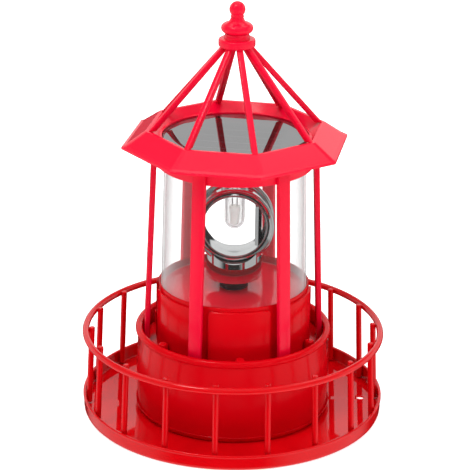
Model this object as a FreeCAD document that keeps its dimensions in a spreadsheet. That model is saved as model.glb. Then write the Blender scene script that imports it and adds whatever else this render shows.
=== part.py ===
"""Garden lighthouse ornament with a solar lamp and a turning beacon, in millimetres.

The origin is the centre of the tray's underside and +Z is up.  -Y is the front: one flat
side of the octagonal roof faces it.  Angles are counted from the front towards +X.
"""
import FreeCAD
import Part
import Sketcher
import math
import os

# ---------------------------------------------------------------- driving dimensions
SIZES = {
    # tray: a pressed pan with a curled rim
    "sheet": 1.2, "tray_r": 82.6, "tray_corner": 2.2, "rim_top": 8.8, "rim_curl": 0.45,
    "tray_hole_r": 2.35, "tray_hole_inset": 10.6, "tray_hole_turn": 105.0, "tray_holes": 3,
    # rail: a wire ring on wire posts
    "rail_r": 82.5, "rail_wire_r": 1.8, "rail_z": 45.2,
    "rail_post_r": 1.6, "rail_post_count": 18, "rail_post_turn": 3.8, "rail_post_tip": 0.9,
    # lower cup
    "cup_flare": 2.1, "cup_foot_inset": 2.6, "cup_foot_height": 4.4, "cup_neck_step": 0.6,
    "cup_wall": 2.2, "lip_wire_r": 2.0, "lip_rise": 8.7, "flange_gap": 0.5,
    "recess_z": 37.8, "recess_plate": 2.0, "recess_shelf": 2.4,
    "boss_r": 3.8, "boss_space": 1.3, "boss_height": 13.0, "boss_count": 3, "boss_turn": 45.0,
    # screws
    "screw_r": 1.45, "screw_gap": 0.05, "screw_head_r": 2.9, "screw_length": 9.0,
    "small_screw_r": 1.0, "small_head_r": 2.1, "small_head": 1.3, "small_screw_length": 5.0,
    # motor housing, the inner drum
    "drum_rim": 1.0, "drum_wall": 1.8, "drum_rim_rise": 3.8, "drum_round": 0.4,
    "drum_panel_rise": 1.6, "drum_panel_draft": 0.2, "drum_panel_drop": 2.1,
    "drum_panel_round": 2.0, "drum_gap": 9.8,
    "flange_edge": 0.8, "flange": 1.8, "floor_rise": 32.5, "floor_disc": 1.0, "drum_cap": 2.2,
    "peg_r": 2.6, "peg_height": 7.6, "peg_space": 0.6, "peg_count": 6, "peg_turn": 15.0,
    "peg_gap": 0.05,
    # clear lantern tube
    "glass_foot_r": 39.5, "glass_draft": 1.5, "glass_wall": 1.2, "glass_length": 72.2,
    "glass_gap": 0.3,
    # lantern frame: skirt, six leaning posts and the octagonal plate
    "skirt_lap": 0.5, "skirt_room": 2.1, "skirt_wall": 2.0, "skirt_height": 10.4, "plate": 1.6,
    "post_width": 7.2, "post_depth": 2.9, "post_head_out": 2.4, "post_count": 6,
    "post_turn": 45.0,
    # octagonal roof
    "eave_reach": 19.3, "eave_edge": 1.4, "eave_wall": 3.8, "plate_gap": 0.25,
    "crease_inset": 2.1, "crease_rise": 2.1, "crown_inset": 12.8, "crown_rise": 9.3,
    "crown_land": 1.9,
    "panel_r": 38.9, "panel_border": 1.5, "panel_rise": 4.6, "panel_gap": 0.2,
    # solar panel layers
    "cover_sheet": 1.2, "cover_bend": 5.9, "cover_fall": 0.8, "cell_sheet": 0.3,
    "back_sheet": 0.5, "seal_sheet": 0.2, "seal_inset": 0.5,
    "cell_front_inset": 13.9, "cell_back_inset": 17.9,
    # rib cage and finial
    "rib_width": 3.2, "rib_depth": 3.0, "rib_count": 8, "rib_inset": 1.5,
    "cage_height": 43.8, "hub_r": 9.7, "hub_height": 4.3, "hub_round": 1.2,
    "bead_r": 8.4, "bead_rise": 5.6, "waist_r": 6.3, "neck_r": 3.25, "neck_rise": 5.9,
    "ball_r": 4.2, "ball_rise": 4.0,
    # ceiling cover, lamp holder and lamp
    "ceiling": 1.1, "ceiling_gap": 0.3, "holder_r": 7.5, "holder_height": 7.0,
    "bulb_r": 5.5, "bulb_wall": 0.8, "bulb_drop": 3.6, "bulb_gap": 0.05,
    "lamp_cup_r": 3.0, "lamp_cup_rise": 2.2, "lamp_cup_height": 10.4, "lead_r": 0.3,
    "lead_apart": 2.54,
    # battery and board above the ceiling cover
    "battery_r": 5.05, "battery_length": 44.0, "battery_y": 20.5, "cradle_wall": 1.0,
    "cradle_height": 6.0, "contact": 0.4, "board": 1.2, "board_width": 44.0,
    "board_length": 28.0, "board_y": -8.0, "standoff": 3.0, "standoff_r": 1.7,
    "roof_boss_r": 2.6, "roof_boss_inset": 0.8, "roof_boss_turn": 0.0, "roof_boss_count": 3,
    # beacon: ring, cup, hub and spindle
    "beacon_turn": 10.0, "beacon_rise": 37.5, "bore_r": 16.2, "ring_half": 9.0,
    "ring_body_r": 19.6, "ring_bead_r": 21.5, "lip_width": 1.3, "lamp_hole_r": 7.4,
    "cup_r": 15.0, "mirror_cup_wall": 1.8, "mirror_cup_rise": 7.1, "cup_boss_r": 4.5,
    "hub_plug": 1.4, "shade_r": 14.8, "shade_wall": 2.0, "shade_sweep": 60.0,
    "beacon_hub_r": 7.8, "hub_lift": 0.5, "spindle_r": 1.5, "spindle_tail": 2.6,
    "spindle_entry": 3.6, "press_gap": 0.02, "running": 0.05, "bush_r": 4.0,
    "bush_flange_r": 5.6, "bush_flange": 0.8, "clip_r": 3.0, "clip": 0.7,
    # gear train
    "coarse": 0.8, "fine": 0.6, "backlash": 0.28, "spindle_teeth": 36, "idler_teeth": 12,
    "wheel_teeth": 30, "pinion_teeth": 10, "spindle_gear_drop": 10.3, "spindle_gear": 3.0,
    "idler_lift": 4.0, "wheel": 2.4, "idler_over": 0.6, "idler_pin_r": 1.0,
    "motor_turn": 160.0, "pinion_under": 0.6, "pinion_length": 3.8,
    "gear_plate_drop": 19.3, "gear_plate": 1.6, "gear_plate_gap": 3.0,
    "pillar_r": 3.2, "pillar_inset": 7.0, "pillar_count": 3, "pillar_turn": 0.0,
    "motor_r": 10.2, "motor_length": 15.5, "motor_nose_r": 3.0, "motor_nose": 1.3,
    "motor_shaft_r": 1.0, "motor_shaft_depth": 6.0, "motor_screw_apart": 12.0,
    # slide switch under the rear eave
    "switch_out": 4.5, "switch_width": 9.6, "switch_depth": 4.4, "switch_height": 3.0,
    "switch_gap": 0.15, "slot_width": 7.4, "slot_depth": 2.4, "knob_width": 3.2,
    "knob_depth": 1.8, "knob_drop": 1.5, "knob_rise": 1.0, "switch_travel": 3.0,
    # roof screws
    "roof_screw_out": 6.9, "roof_screw_count": 4, "roof_screw_turn": 45.0,
    "roof_screw_length": 4.2,
}

# what fits on or into something else follows it
FITS = {
    "tray_hole_circle_r": lambda d: d.tray_r - d.tray_hole_inset,
    "drum_r": lambda d: d.glass_foot_r + d.glass_gap + d.drum_rim,
    "drum_inner_r": lambda d: d.drum_r - d.drum_wall,
    "drum_panel_r": lambda d: d.drum_r + d.drum_panel_rise,
    "peg_circle_r": lambda d: d.drum_panel_r + d.peg_space + d.peg_r,
    "flange_r": lambda d: d.peg_circle_r + d.peg_r + d.flange_edge,
    "recess_hole_r": lambda d: d.drum_r - d.recess_shelf,
    "lip_ring_r": lambda d: d.flange_r + d.flange_gap + d.lip_wire_r,
    "cup_neck_r": lambda d: d.lip_ring_r + d.cup_neck_step,
    "cup_foot_r": lambda d: d.cup_neck_r + d.cup_flare,
    "boss_circle_r": lambda d: d.cup_foot_r - d.cup_wall - d.boss_r - d.boss_space,
    "lip_z": lambda d: d.recess_z + d.lip_rise,
    "floor_z": lambda d: d.recess_z + d.floor_rise,
    "peg_top": lambda d: d.recess_z + d.flange + d.peg_height,
    "drum_top": lambda d: d.floor_z + d.drum_rim_rise,
    "drum_panel_top": lambda d: d.drum_top - d.drum_panel_drop,
    "glass_head_r": lambda d: d.glass_foot_r - d.glass_draft,
    "glass_top": lambda d: d.floor_z + d.glass_length,
    "skirt_low": lambda d: d.glass_top - d.skirt_lap,
    "skirt_r": lambda d: d.glass_head_r + d.skirt_room + d.skirt_wall,
    "post_head_r": lambda d: d.skirt_r + d.post_head_out,
    "post_foot_r": lambda d: d.flange_r,
    "plate_z": lambda d: d.skirt_low + d.skirt_height,
    "eave_low": lambda d: d.plate_z,
    "eave_r": lambda d: d.skirt_r + d.eave_reach,
    "eave_top": lambda d: d.eave_low + d.eave_edge,
    "crease_r": lambda d: d.eave_r - d.crease_inset,
    "crease_z": lambda d: d.eave_low + d.crease_rise,
    "crown_r": lambda d: d.eave_r - d.crown_inset,
    "crown_z": lambda d: d.eave_low + d.crown_rise,
    "well_r": lambda d: (d.panel_r + d.panel_border) / cosine(Size.of(HALF_EIGHTH)),
    "panel_z": lambda d: d.eave_low + d.panel_rise,
    "ledge_r": lambda d: d.panel_r - d.cover_bend,
    "roof_boss_circle_r": lambda d: d.ledge_r + d.roof_boss_inset,
    "roof_screw_circle_r": lambda d: d.skirt_r + d.roof_screw_out,
    "switch_y": lambda d: d.skirt_r + d.switch_out,
    "hub_low": lambda d: d.crown_z + d.cage_height,
    "hub_top": lambda d: d.hub_low + d.hub_height,
    "bead_z": lambda d: d.hub_top + d.bead_rise,
    "neck_z": lambda d: d.bead_z + d.neck_rise,
    "ball_z": lambda d: d.neck_z + d.ball_rise,
    "beacon_z": lambda d: d.floor_z + d.beacon_rise,
    "cup_low": lambda d: d.floor_z + d.mirror_cup_rise,
    "holder_low": lambda d: d.glass_top - d.holder_height,
    "bulb_low": lambda d: d.beacon_z - d.bulb_drop,
    "lamp_cup_low": lambda d: d.bulb_low + d.lamp_cup_rise,
    "lamp_cup_top": lambda d: d.lamp_cup_low + d.lamp_cup_height,
    "gear_plate_z": lambda d: d.floor_z - d.gear_plate_drop,
    "gear_plate_r": lambda d: d.drum_inner_r - d.gear_plate_gap,
    "pillar_circle_r": lambda d: d.drum_inner_r - d.pillar_inset,
    "spindle_low": lambda d: d.gear_plate_z - d.spindle_tail,
    "spindle_top": lambda d: d.cup_low + d.spindle_entry,
    "spindle_gear_z": lambda d: d.floor_z - d.spindle_gear_drop,
    "idler_z": lambda d: d.gear_plate_z + d.idler_lift,
    "idler_top": lambda d: d.spindle_gear_z + d.spindle_gear + d.idler_over,
    "pinion_low": lambda d: d.idler_z - d.pinion_under,
    "pinion_top": lambda d: d.pinion_low + d.pinion_length,
}

EIGHTH = 45.0
HALF_EIGHTH = EIGHTH / 2
PITCH_ANGLE = 20.0
FLANK_SLOPE = math.tan(math.radians(PITCH_ANGLE))
FLANK_BEND = 1.76
FLANK_RADIUS = 0.342
TIP_HEIGHT = 0.9
TOOTH_DEPTH = 1.15
SHEET = "Sizes"


class Size:
    """A number together with the spreadsheet expression that gives it."""

    def __init__(self, number, text):
        self.number = float(number)
        self.text = text

    @staticmethod
    def of(value):
        if isinstance(value, Size):
            return value
        return Size(value, f"{float(value):.6g}")

    def joined(self, other, sign, number):
        return Size(number, f"({self.text} {sign} {Size.of(other).text})")

    def __add__(self, other):
        return self.joined(other, "+", self.number + Size.of(other).number)

    def __sub__(self, other):
        return self.joined(other, "-", self.number - Size.of(other).number)

    def __mul__(self, other):
        return self.joined(other, "*", self.number * Size.of(other).number)

    def __truediv__(self, other):
        return self.joined(other, "/", self.number / Size.of(other).number)

    def __neg__(self):
        return Size(-self.number, f"(0 - {self.text})")

    def __radd__(self, other):
        return Size.of(other) + self

    def __rsub__(self, other):
        return Size.of(other) - self

    def __rmul__(self, other):
        return Size.of(other) * self

    def __float__(self):
        return self.number


class Sizes:
    """Reads a size by its alias in the spreadsheet: d.tray_r is a Size."""

    def __init__(self, table):
        self.table = table

    def __getattr__(self, alias):
        if alias in FITS:
            return FITS[alias](self)
        return Size(self.table.get(alias), f"{SHEET}.{alias}")


def cosine(angle):
    """Cosine of a Size in degrees."""
    return Size(math.cos(math.radians(angle.number)), f"cos({angle.text})")


def sine(angle):
    """Sine of a Size in degrees."""
    return Size(math.sin(math.radians(angle.number)), f"sin({angle.text})")


def sheet_of_sizes(doc):
    """Writes every driving dimension into a cell with its alias."""
    sheet = doc.addObject("Spreadsheet::Sheet", SHEET)
    for row, (alias, number) in enumerate(SIZES.items(), start=1):
        sheet.set(f"A{row}", alias)
        sheet.set(f"B{row}", f"{number:g}")
        sheet.setAlias(f"B{row}", alias)
    doc.recompute()
    return sheet


DOC = FreeCAD.newDocument("GardenLighthouse")
d = Sizes(sheet_of_sizes(DOC))
PIECES = []


# ---------------------------------------------------------------- modelling helpers
def bind(thing, path, size):
    """Ties one property of a document object to the spreadsheet."""
    thing.setExpression(path, Size.of(size).text)


def keep(piece, name):
    """Names a finished sub-part and puts it on the list of pieces to write."""
    piece.Label = name
    PIECES.append(piece)
    return piece


def new_body(name):
    body = DOC.addObject("PartDesign::Body", name + "_body")
    if hasattr(body, "AllowCompound"):
        body.AllowCompound = True
    return keep(body, name)


def origin_part(body, role):
    """One of the body's own origin planes or axes."""
    for feature in body.Origin.OriginFeatures:
        if feature.Role == role:
            return feature
    raise ValueError(role)


def sketch_on(body, name, role="XZ_Plane", lift=None):
    """An empty sketch on an origin plane, lifted along its normal."""
    sketch = body.newObject("Sketcher::SketchObject", name)
    sketch.AttachmentSupport = [(origin_part(body, role), "")]
    sketch.MapMode = "FlatFace"
    if lift is not None:
        bind(sketch, "AttachmentOffset.Base.z", lift)
    return sketch


def pin_point(sketch, edge, end, place):
    """Ties a point of the sketch to its two coordinates."""
    axes = (("DistanceX", -2), ("DistanceY", -1))
    for (kind, axis), size in zip(axes, place):
        size = Size.of(size)
        if abs(size.number) < 1e-9:
            sketch.addConstraint(Sketcher.Constraint("PointOnObject", edge, end, axis))
            continue
        if size.number > 0:
            rule = Sketcher.Constraint(kind, -1, 1, edge, end, size.number)
        else:
            rule = Sketcher.Constraint(kind, edge, end, -1, 1, -size.number)
            size = -size
        index = sketch.addConstraint(rule)
        bind(sketch, f"Constraints[{index}]", size)


def arc_between(start, finish, radius, turn):
    """The short arc from start to finish; turn is 1 for anticlockwise, -1 for clockwise."""
    chord = finish - start
    half = chord.Length / 2
    middle = start + chord * 0.5
    side = FreeCAD.Vector(-chord.y, chord.x, 0).normalize() * turn
    centre = middle + side * math.sqrt(max(radius * radius - half * half, 0.0))
    first, last = (start, finish) if turn > 0 else (finish, start)
    angle_first = math.atan2(first.y - centre.y, first.x - centre.x)
    angle_last = math.atan2(last.y - centre.y, last.x - centre.x)
    if angle_last <= angle_first:
        angle_last += 2 * math.pi
    circle = Part.Circle(centre, FreeCAD.Vector(0, 0, 1), radius)
    return Part.ArcOfCircle(circle, angle_first, angle_last)


def outline(sketch, corners):
    """Draws a closed loop: a corner is (x, y), or (x, y, radius, turn) when an arc leaves it."""
    places = [FreeCAD.Vector(float(c[0]), float(c[1]), 0) for c in corners]
    count = len(corners)
    starts = []
    for index, corner in enumerate(corners):
        here = places[index]
        there = places[(index + 1) % count]
        if len(corner) == 2:
            sketch.addGeometry(Part.LineSegment(here, there))
            starts.append((1, 2))
            continue
        radius, turn = Size.of(corner[2]), corner[3]
        sketch.addGeometry(arc_between(here, there, radius.number, turn))
        starts.append((1, 2) if turn > 0 else (2, 1))
    for index in range(count):
        following = (index + 1) % count
        joint = ("Coincident", index, starts[index][1], following, starts[following][0])
        sketch.addConstraint(Sketcher.Constraint(*joint))
    for index, corner in enumerate(corners):
        pin_point(sketch, index, starts[index][0], corner[:2])
        if len(corner) == 4:
            rule = Sketcher.Constraint("Radius", index, float(corner[2]))
            bind(sketch, f"Constraints[{sketch.addConstraint(rule)}]", corner[2])
    return sketch


def turned(body, name, corners, cut=False):
    """A shape revolved about the upright axis: a corner is (radius, height)."""
    sketch = outline(sketch_on(body, name + "_profile"), corners)
    feature = body.newObject("PartDesign::Groove" if cut else "PartDesign::Revolution", name)
    feature.Profile = sketch
    feature.ReferenceAxis = (sketch, ["V_Axis"])
    feature.Angle = 360.0
    return feature


def placed(feature, body, x, y, z):
    """Stands a primitive on the body's XY plane at (x, y, z)."""
    feature.AttachmentSupport = [(origin_part(body, "XY_Plane"), "")]
    feature.MapMode = "FlatFace"
    for axis, size in zip("xyz", (x, y, z)):
        bind(feature, f"AttachmentOffset.Base.{axis}", size)
    return feature


def cylinder(body, name, radius, height, place, cut=False):
    """An upright cylinder added to the body, or cut from it."""
    kind = "Subtractive" if cut else "Additive"
    feature = body.newObject(f"PartDesign::{kind}Cylinder", name)
    bind(feature, "Radius", radius)
    bind(feature, "Height", height)
    return placed(feature, body, *place)


def cone(body, name, low_radius, high_radius, height, place, cut=False):
    """An upright cone added to the body, or cut from it."""
    kind = "Subtractive" if cut else "Additive"
    feature = body.newObject(f"PartDesign::{kind}Cone", name)
    bind(feature, "Radius1", low_radius)
    bind(feature, "Radius2", high_radius)
    bind(feature, "Height", height)
    return placed(feature, body, *place)


def block(body, name, size, centre, cut=False):
    """A box given by its size and the centre of its underside."""
    kind = "Subtractive" if cut else "Additive"
    feature = body.newObject(f"PartDesign::{kind}Box", name)
    for side, length in zip(("Length", "Width", "Height"), size):
        bind(feature, side, length)
    corner_x = Size.of(centre[0]) - Size.of(size[0]) / 2
    corner_y = Size.of(centre[1]) - Size.of(size[1]) / 2
    return placed(feature, body, corner_x, corner_y, centre[2])


def around(body, name, features, count):
    """Repeats features evenly about the body's Z axis."""
    pattern = body.newObject("PartDesign::PolarPattern", name)
    pattern.Originals = features
    pattern.Axis = (origin_part(body, "Z_Axis"), [""])
    pattern.Angle = 360.0
    bind(pattern, "Occurrences", count)
    body.Tip = pattern
    return pattern


def polar(radius, turn, height):
    """A place at a radius and an angle from the front towards +X."""
    return (radius * sine(turn), -(radius * cosine(turn)), height)


def polygon_wire(sketch, corner_r):
    """Draws the roof's octagon, one flat side towards the front."""
    corners = []
    for step in range(8):
        angle = Size.of(HALF_EIGHTH + EIGHTH * step)
        corners.append((corner_r * sine(angle), -(corner_r * cosine(angle))))
    return outline(sketch, corners)


def octagon_loft(body, name, low, high, cut=False):
    """A ruled loft between two octagons, each given as (corner radius, height)."""
    sections = []
    for label, (corner_r, height) in (("low", low), ("high", high)):
        sketch = sketch_on(body, f"{name}_{label}", "XY_Plane", height)
        sections.append(polygon_wire(sketch, corner_r))
    kind = "PartDesign::SubtractiveLoft" if cut else "PartDesign::AdditiveLoft"
    loft = body.newObject(kind, name)
    loft.Profile = sections[0]
    loft.Sections = [sections[1]]
    loft.Ruled = True
    return loft


def octagon_pad(body, name, corner_r, low, height, cut=False):
    """An octagonal plate, or a pocket of that shape cut upwards."""
    sketch = polygon_wire(sketch_on(body, name + "_profile", "XY_Plane", low), corner_r)
    kind = "PartDesign::Pocket" if cut else "PartDesign::Pad"
    feature = body.newObject(kind, name)
    feature.Profile = sketch
    bind(feature, "Length", height)
    if cut:
        feature.Reversed = True
    return feature


# ---------------------------------------------------------------- base
def make_tray():
    """A round pan pressed from sheet, its rim curled outwards, with three fixing holes."""
    body = new_body("tray")
    curl = d.rim_curl
    wall_r = d.tray_r - curl
    inner_r = wall_r - d.sheet
    bend = d.tray_corner
    turned(body, "pan", [
        (0, 0),
        (wall_r - bend, 0, bend, 1),
        (wall_r, bend),
        (wall_r, d.rim_top - 2 * curl, curl, 1),
        (d.tray_r, d.rim_top - curl, curl, 1),
        (wall_r, d.rim_top, d.sheet, 1),
        (inner_r, d.rim_top - d.sheet),
        (inner_r, bend, bend - d.sheet, -1),
        (wall_r - bend, d.sheet),
        (0, d.sheet),
    ])
    hole = cylinder(body, "fixing_hole", d.tray_hole_r, d.sheet * 3,
                    polar(d.tray_hole_circle_r, d.tray_hole_turn, -d.sheet), cut=True)
    around(body, "fixing_holes", [hole], d.tray_holes)
    sink = cone(body, "screw_sink", d.screw_head_r + 0.1, d.screw_r + 0.1, d.sheet,
                polar(d.boss_circle_r, d.boss_turn, Size.of(0)), cut=True)
    around(body, "screw_sinks", [sink], d.boss_count)


def make_rail_ring():
    """The round wire that the rail posts carry."""
    ring = DOC.addObject("Part::Torus", "rail_ring_wire")
    bind(ring, "Radius1", d.rail_r - d.rail_wire_r)
    bind(ring, "Radius2", d.rail_wire_r)
    bind(ring, "Placement.Base.z", d.rail_z)
    keep(ring, "rail_ring")


def make_rail_posts():
    """Leaning wires from the tray's rim to the inside of the rail, with domed tips."""
    body = new_body("rail_posts")
    gap = 0.05
    head_r = d.rail_r - 2 * d.rail_wire_r - d.rail_post_r - gap
    foot_r = d.tray_r - d.rim_curl - d.sheet - d.rail_post_r - gap
    foot_z = d.tray_corner + gap
    tip_z = d.rail_z + d.rail_wire_r
    tip = d.rail_post_tip
    wire_r = d.rail_post_r
    sections = []
    stations = ((foot_r, foot_z, wire_r), (head_r, tip_z - tip, wire_r))
    for index, (radius, height, section_r) in enumerate(stations):
        sketch = sketch_on(body, f"post_section_{index}", "XY_Plane", height)
        centre = polar(radius, d.rail_post_turn, height)
        spot = FreeCAD.Vector(float(centre[0]), float(centre[1]), 0)
        circle = Part.Circle(spot, FreeCAD.Vector(0, 0, 1), float(section_r))
        edge = sketch.addGeometry(circle)
        pin_point(sketch, edge, 3, centre[:2])
        rule = sketch.addConstraint(Sketcher.Constraint("Radius", edge, float(section_r)))
        bind(sketch, f"Constraints[{rule}]", section_r)
        sections.append(sketch)
    loft = body.newObject("PartDesign::AdditiveLoft", "post")
    loft.Profile = sections[0]
    loft.Sections = sections[1:]
    loft.Ruled = True
    dome = cone(body, "post_tip", wire_r, wire_r - tip * 0.75, tip,
                polar(head_r, d.rail_post_turn, tip_z - tip))
    around(body, "posts", [loft, dome], d.rail_post_count)


def make_base_cup():
    """The lower cup: rounded foot, slightly tapering wall, rolled lip and recessed ring floor."""
    body = new_body("base_cup")
    foot_r = d.cup_foot_r
    stand_r = foot_r - d.cup_foot_inset
    lip_low_z = d.lip_z - d.lip_wire_r * 0.9
    inner_r = d.lip_ring_r - d.lip_wire_r
    recess_low = d.recess_z - d.recess_plate
    turned(body, "cup", [
        (stand_r - d.cup_wall, d.sheet),
        (stand_r, d.sheet, Size.of(4.2), 1),
        (foot_r, d.cup_foot_height + d.sheet),
        (d.cup_neck_r, lip_low_z - 0.6),
        (d.lip_ring_r + d.lip_wire_r, d.lip_z, d.lip_wire_r, 1),
        (d.lip_ring_r, d.lip_z + d.lip_wire_r, d.lip_wire_r, 1),
        (inner_r, d.lip_z),
        (inner_r + 0.3, d.recess_z),
        (d.recess_hole_r, d.recess_z),
        (d.recess_hole_r, recess_low),
        (inner_r + 0.3, recess_low),
        (foot_r - d.cup_wall, d.cup_foot_height + d.sheet),
    ])
    boss = cylinder(body, "boss", d.boss_r, d.boss_height,
                    polar(d.boss_circle_r, d.boss_turn, d.sheet))
    around(body, "bosses", [boss], d.boss_count)
    hole = cylinder(body, "boss_hole", d.screw_r + d.screw_gap, d.screw_length + 1,
                    polar(d.boss_circle_r, d.boss_turn, d.sheet), cut=True)
    around(body, "boss_holes", [hole], d.boss_count)
    peg_hole = cylinder(body, "peg_hole", d.peg_r * 0.6 + d.peg_gap, d.recess_plate,
                        polar(d.peg_circle_r, d.peg_turn, recess_low), cut=True)
    around(body, "peg_holes", [peg_hole], d.peg_count)


def make_cup_screws():
    """Countersunk screws that hold the cup to the tray from below."""
    body = new_body("cup_screws")
    spot = polar(d.boss_circle_r, d.boss_turn, Size.of(0.05))
    head = cone(body, "head", d.screw_head_r, d.screw_r, d.sheet, spot)
    shank = cylinder(body, "shank", d.screw_r, d.screw_length, spot)
    around(body, "screws", [head, shank], d.boss_count)


def make_motor_housing():
    """The inner drum: raised panels on a flanged wall, a cap over the gears and a rim."""
    body = new_body("motor_housing")
    cap_top = d.floor_z - d.floor_disc
    cap_low = cap_top - d.drum_cap
    flange_top = d.recess_z + d.flange
    seat_r = d.glass_foot_r + d.glass_gap
    turned(body, "panels", [
        (seat_r, flange_top),
        (d.drum_panel_r, flange_top),
        (d.drum_panel_r - d.drum_panel_draft, d.drum_panel_top),
        (seat_r, d.drum_panel_top),
    ])
    around(body, "panel_gaps", [panel_gap(body, flange_top)], d.post_count)
    turned(body, "drum", [
        (d.bush_r, cap_low),
        (d.drum_inner_r, cap_low),
        (d.drum_inner_r, d.recess_z),
        (d.flange_r, d.recess_z),
        (d.flange_r, flange_top),
        (d.drum_r, flange_top),
        (d.drum_r, d.drum_top - d.drum_round, d.drum_round, 1),
        (d.drum_r - d.drum_round, d.drum_top),
        (seat_r, d.drum_top),
        (seat_r, cap_top),
        (d.bush_r, cap_top),
    ])
    pillar_low = d.gear_plate_z + d.gear_plate
    pillar = cylinder(body, "pillar", d.pillar_r, cap_low - pillar_low,
                      polar(d.pillar_circle_r, d.pillar_turn, pillar_low))
    around(body, "pillars", [pillar], d.pillar_count)
    screw_hole = cylinder(body, "pillar_hole", d.small_screw_r + d.screw_gap,
                          d.small_screw_length,
                          polar(d.pillar_circle_r, d.pillar_turn, pillar_low), cut=True)
    around(body, "pillar_holes", [screw_hole], d.pillar_count)
    idler = idler_place()
    cylinder(body, "idler_pin_socket", d.idler_pin_r + d.running, d.drum_cap / 2,
             (idler[0], idler[1], cap_low), cut=True)
    peg_hole = cylinder(body, "peg_hole", d.peg_r * 0.6 + d.peg_gap, d.flange,
                        polar(d.peg_circle_r, d.peg_turn, d.recess_z), cut=True)
    around(body, "peg_holes", [peg_hole], d.peg_count)


def panel_gap(body, low):
    """The channel between two raised panels, where a post stands; its mouth is rounded."""
    sketch = sketch_on(body, "panel_gap_outline")
    sketch.AttachmentOffset.Rotation = FreeCAD.Rotation(FreeCAD.Vector(0, 1, 0), 45)
    bind(sketch, "AttachmentOffset.Rotation.Angle", d.post_turn)
    half = d.drum_gap / 2
    mouth = half + d.drum_panel_round
    shoulder = d.drum_panel_top - d.drum_panel_round
    above = d.drum_panel_top + 1
    outline(sketch, [
        (-half, low),
        (half, low),
        (half, shoulder, d.drum_panel_round, -1),
        (mouth, d.drum_panel_top),
        (mouth, above),
        (-mouth, above),
        (-mouth, d.drum_panel_top, d.drum_panel_round, -1),
        (-half, shoulder),
    ])
    gap = body.newObject("PartDesign::Pocket", "panel_gap")
    gap.Profile = sketch
    gap.Reversed = True
    bind(gap, "Length", 2 * d.drum_panel_r)
    return gap


def make_locating_pegs():
    """Round-headed pegs that key the drum's flange to the cup's recessed floor."""
    body = new_body("locating_pegs")
    shank_low = d.recess_z - d.recess_plate
    head_low = d.recess_z + d.flange
    stem_r = d.peg_r * 0.6
    stem = cylinder(body, "stem", stem_r, head_low - shank_low,
                    polar(d.peg_circle_r, d.peg_turn, shank_low))
    head = cylinder(body, "head", d.peg_r, d.peg_top - head_low - 0.8,
                    polar(d.peg_circle_r, d.peg_turn, head_low))
    crown = cone(body, "crown", d.peg_r, d.peg_r - 0.8, Size.of(0.8),
                 polar(d.peg_circle_r, d.peg_turn, d.peg_top - 0.8))
    around(body, "pegs", [stem, head, crown], d.peg_count)


def make_lantern_floor():
    """The glossy disc that the clear tube stands on."""
    body = new_body("lantern_floor")
    inner_r = d.bush_flange_r + 0.1
    outer_r = d.glass_foot_r + d.glass_gap - 0.1
    low = d.floor_z - d.floor_disc
    turned(body, "disc", [(inner_r, low), (outer_r, low), (outer_r, d.floor_z),
                          (inner_r, d.floor_z)])


# ---------------------------------------------------------------- lantern
def make_lantern_glass():
    """The clear tube, moulded with a little draft, so it is wider at its foot."""
    body = new_body("lantern_glass")
    turned(body, "tube", [
        (d.glass_foot_r - d.glass_wall, d.floor_z),
        (d.glass_foot_r, d.floor_z),
        (d.glass_head_r, d.glass_top),
        (d.glass_head_r - d.glass_wall, d.glass_top),
    ])


def make_lantern_frame():
    """Octagonal plate, round skirt and six leaning flat posts, moulded in one."""
    body = new_body("lantern_frame")
    plate_top = d.plate_z + d.plate
    skirt_in = d.skirt_r - d.skirt_wall
    octagon_pad(body, "plate", d.eave_r - d.eave_wall - d.plate_gap, d.plate_z, d.plate)
    turned(body, "skirt", [
        (skirt_in, d.skirt_low), (d.skirt_r, d.skirt_low), (d.skirt_r + 0.5, plate_top),
        (skirt_in, plate_top),
    ])
    post = leaning_post(body)
    around(body, "posts", [post], d.post_count)
    cylinder(body, "opening", skirt_in, d.plate * 3,
             (Size.of(0), Size.of(0), d.plate_z - d.plate), cut=True)
    spot = polar(d.roof_screw_circle_r, d.roof_screw_turn, d.plate_z - d.plate)
    hole = cylinder(body, "screw_hole", d.screw_r + d.screw_gap, d.plate * 3, spot, cut=True)
    around(body, "screw_holes", [hole], d.roof_screw_count)
    block(body, "switch_slot", (d.slot_width, d.slot_depth, d.plate * 3),
          (Size.of(0), d.switch_y, d.plate_z - d.plate), cut=True)


def leaning_post(body):
    """One flat post: a ruled loft from its foot in the recess up to the plate."""
    sections = []
    foot_z = d.recess_z + d.flange
    stations = (("foot", d.post_foot_r, foot_z), ("head", d.post_head_r, d.plate_z))
    for label, outer_r, height in stations:
        sketch = sketch_on(body, f"post_{label}", "XY_Plane", height)
        half = d.post_width / 2
        near, far = outer_r - d.post_depth, outer_r
        outline(sketch, [
            post_corner(near, half), post_corner(far, half),
            post_corner(far, -half), post_corner(near, -half),
        ])
        sections.append(sketch)
    loft = body.newObject("PartDesign::AdditiveLoft", "post")
    loft.Profile = sections[0]
    loft.Sections = [sections[1]]
    loft.Ruled = True
    return loft


def post_corner(radius, across):
    """A corner of a post's section, out along the post's own direction and across it."""
    out_x, out_y = sine(d.post_turn), -cosine(d.post_turn)
    return (radius * out_x - across * out_y, radius * out_y + across * out_x)


def make_frame_screws():
    """Screws that hold the lantern frame's plate up into the roof."""
    body = new_body("frame_screws")
    spot = polar(d.roof_screw_circle_r, d.roof_screw_turn, d.plate_z - d.small_head)
    head = cylinder(body, "head", d.screw_head_r, d.small_head, spot)
    shank = cylinder(body, "shank", d.screw_r, d.small_head + d.roof_screw_length, spot)
    around(body, "screws", [head, shank], d.roof_screw_count)


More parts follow.
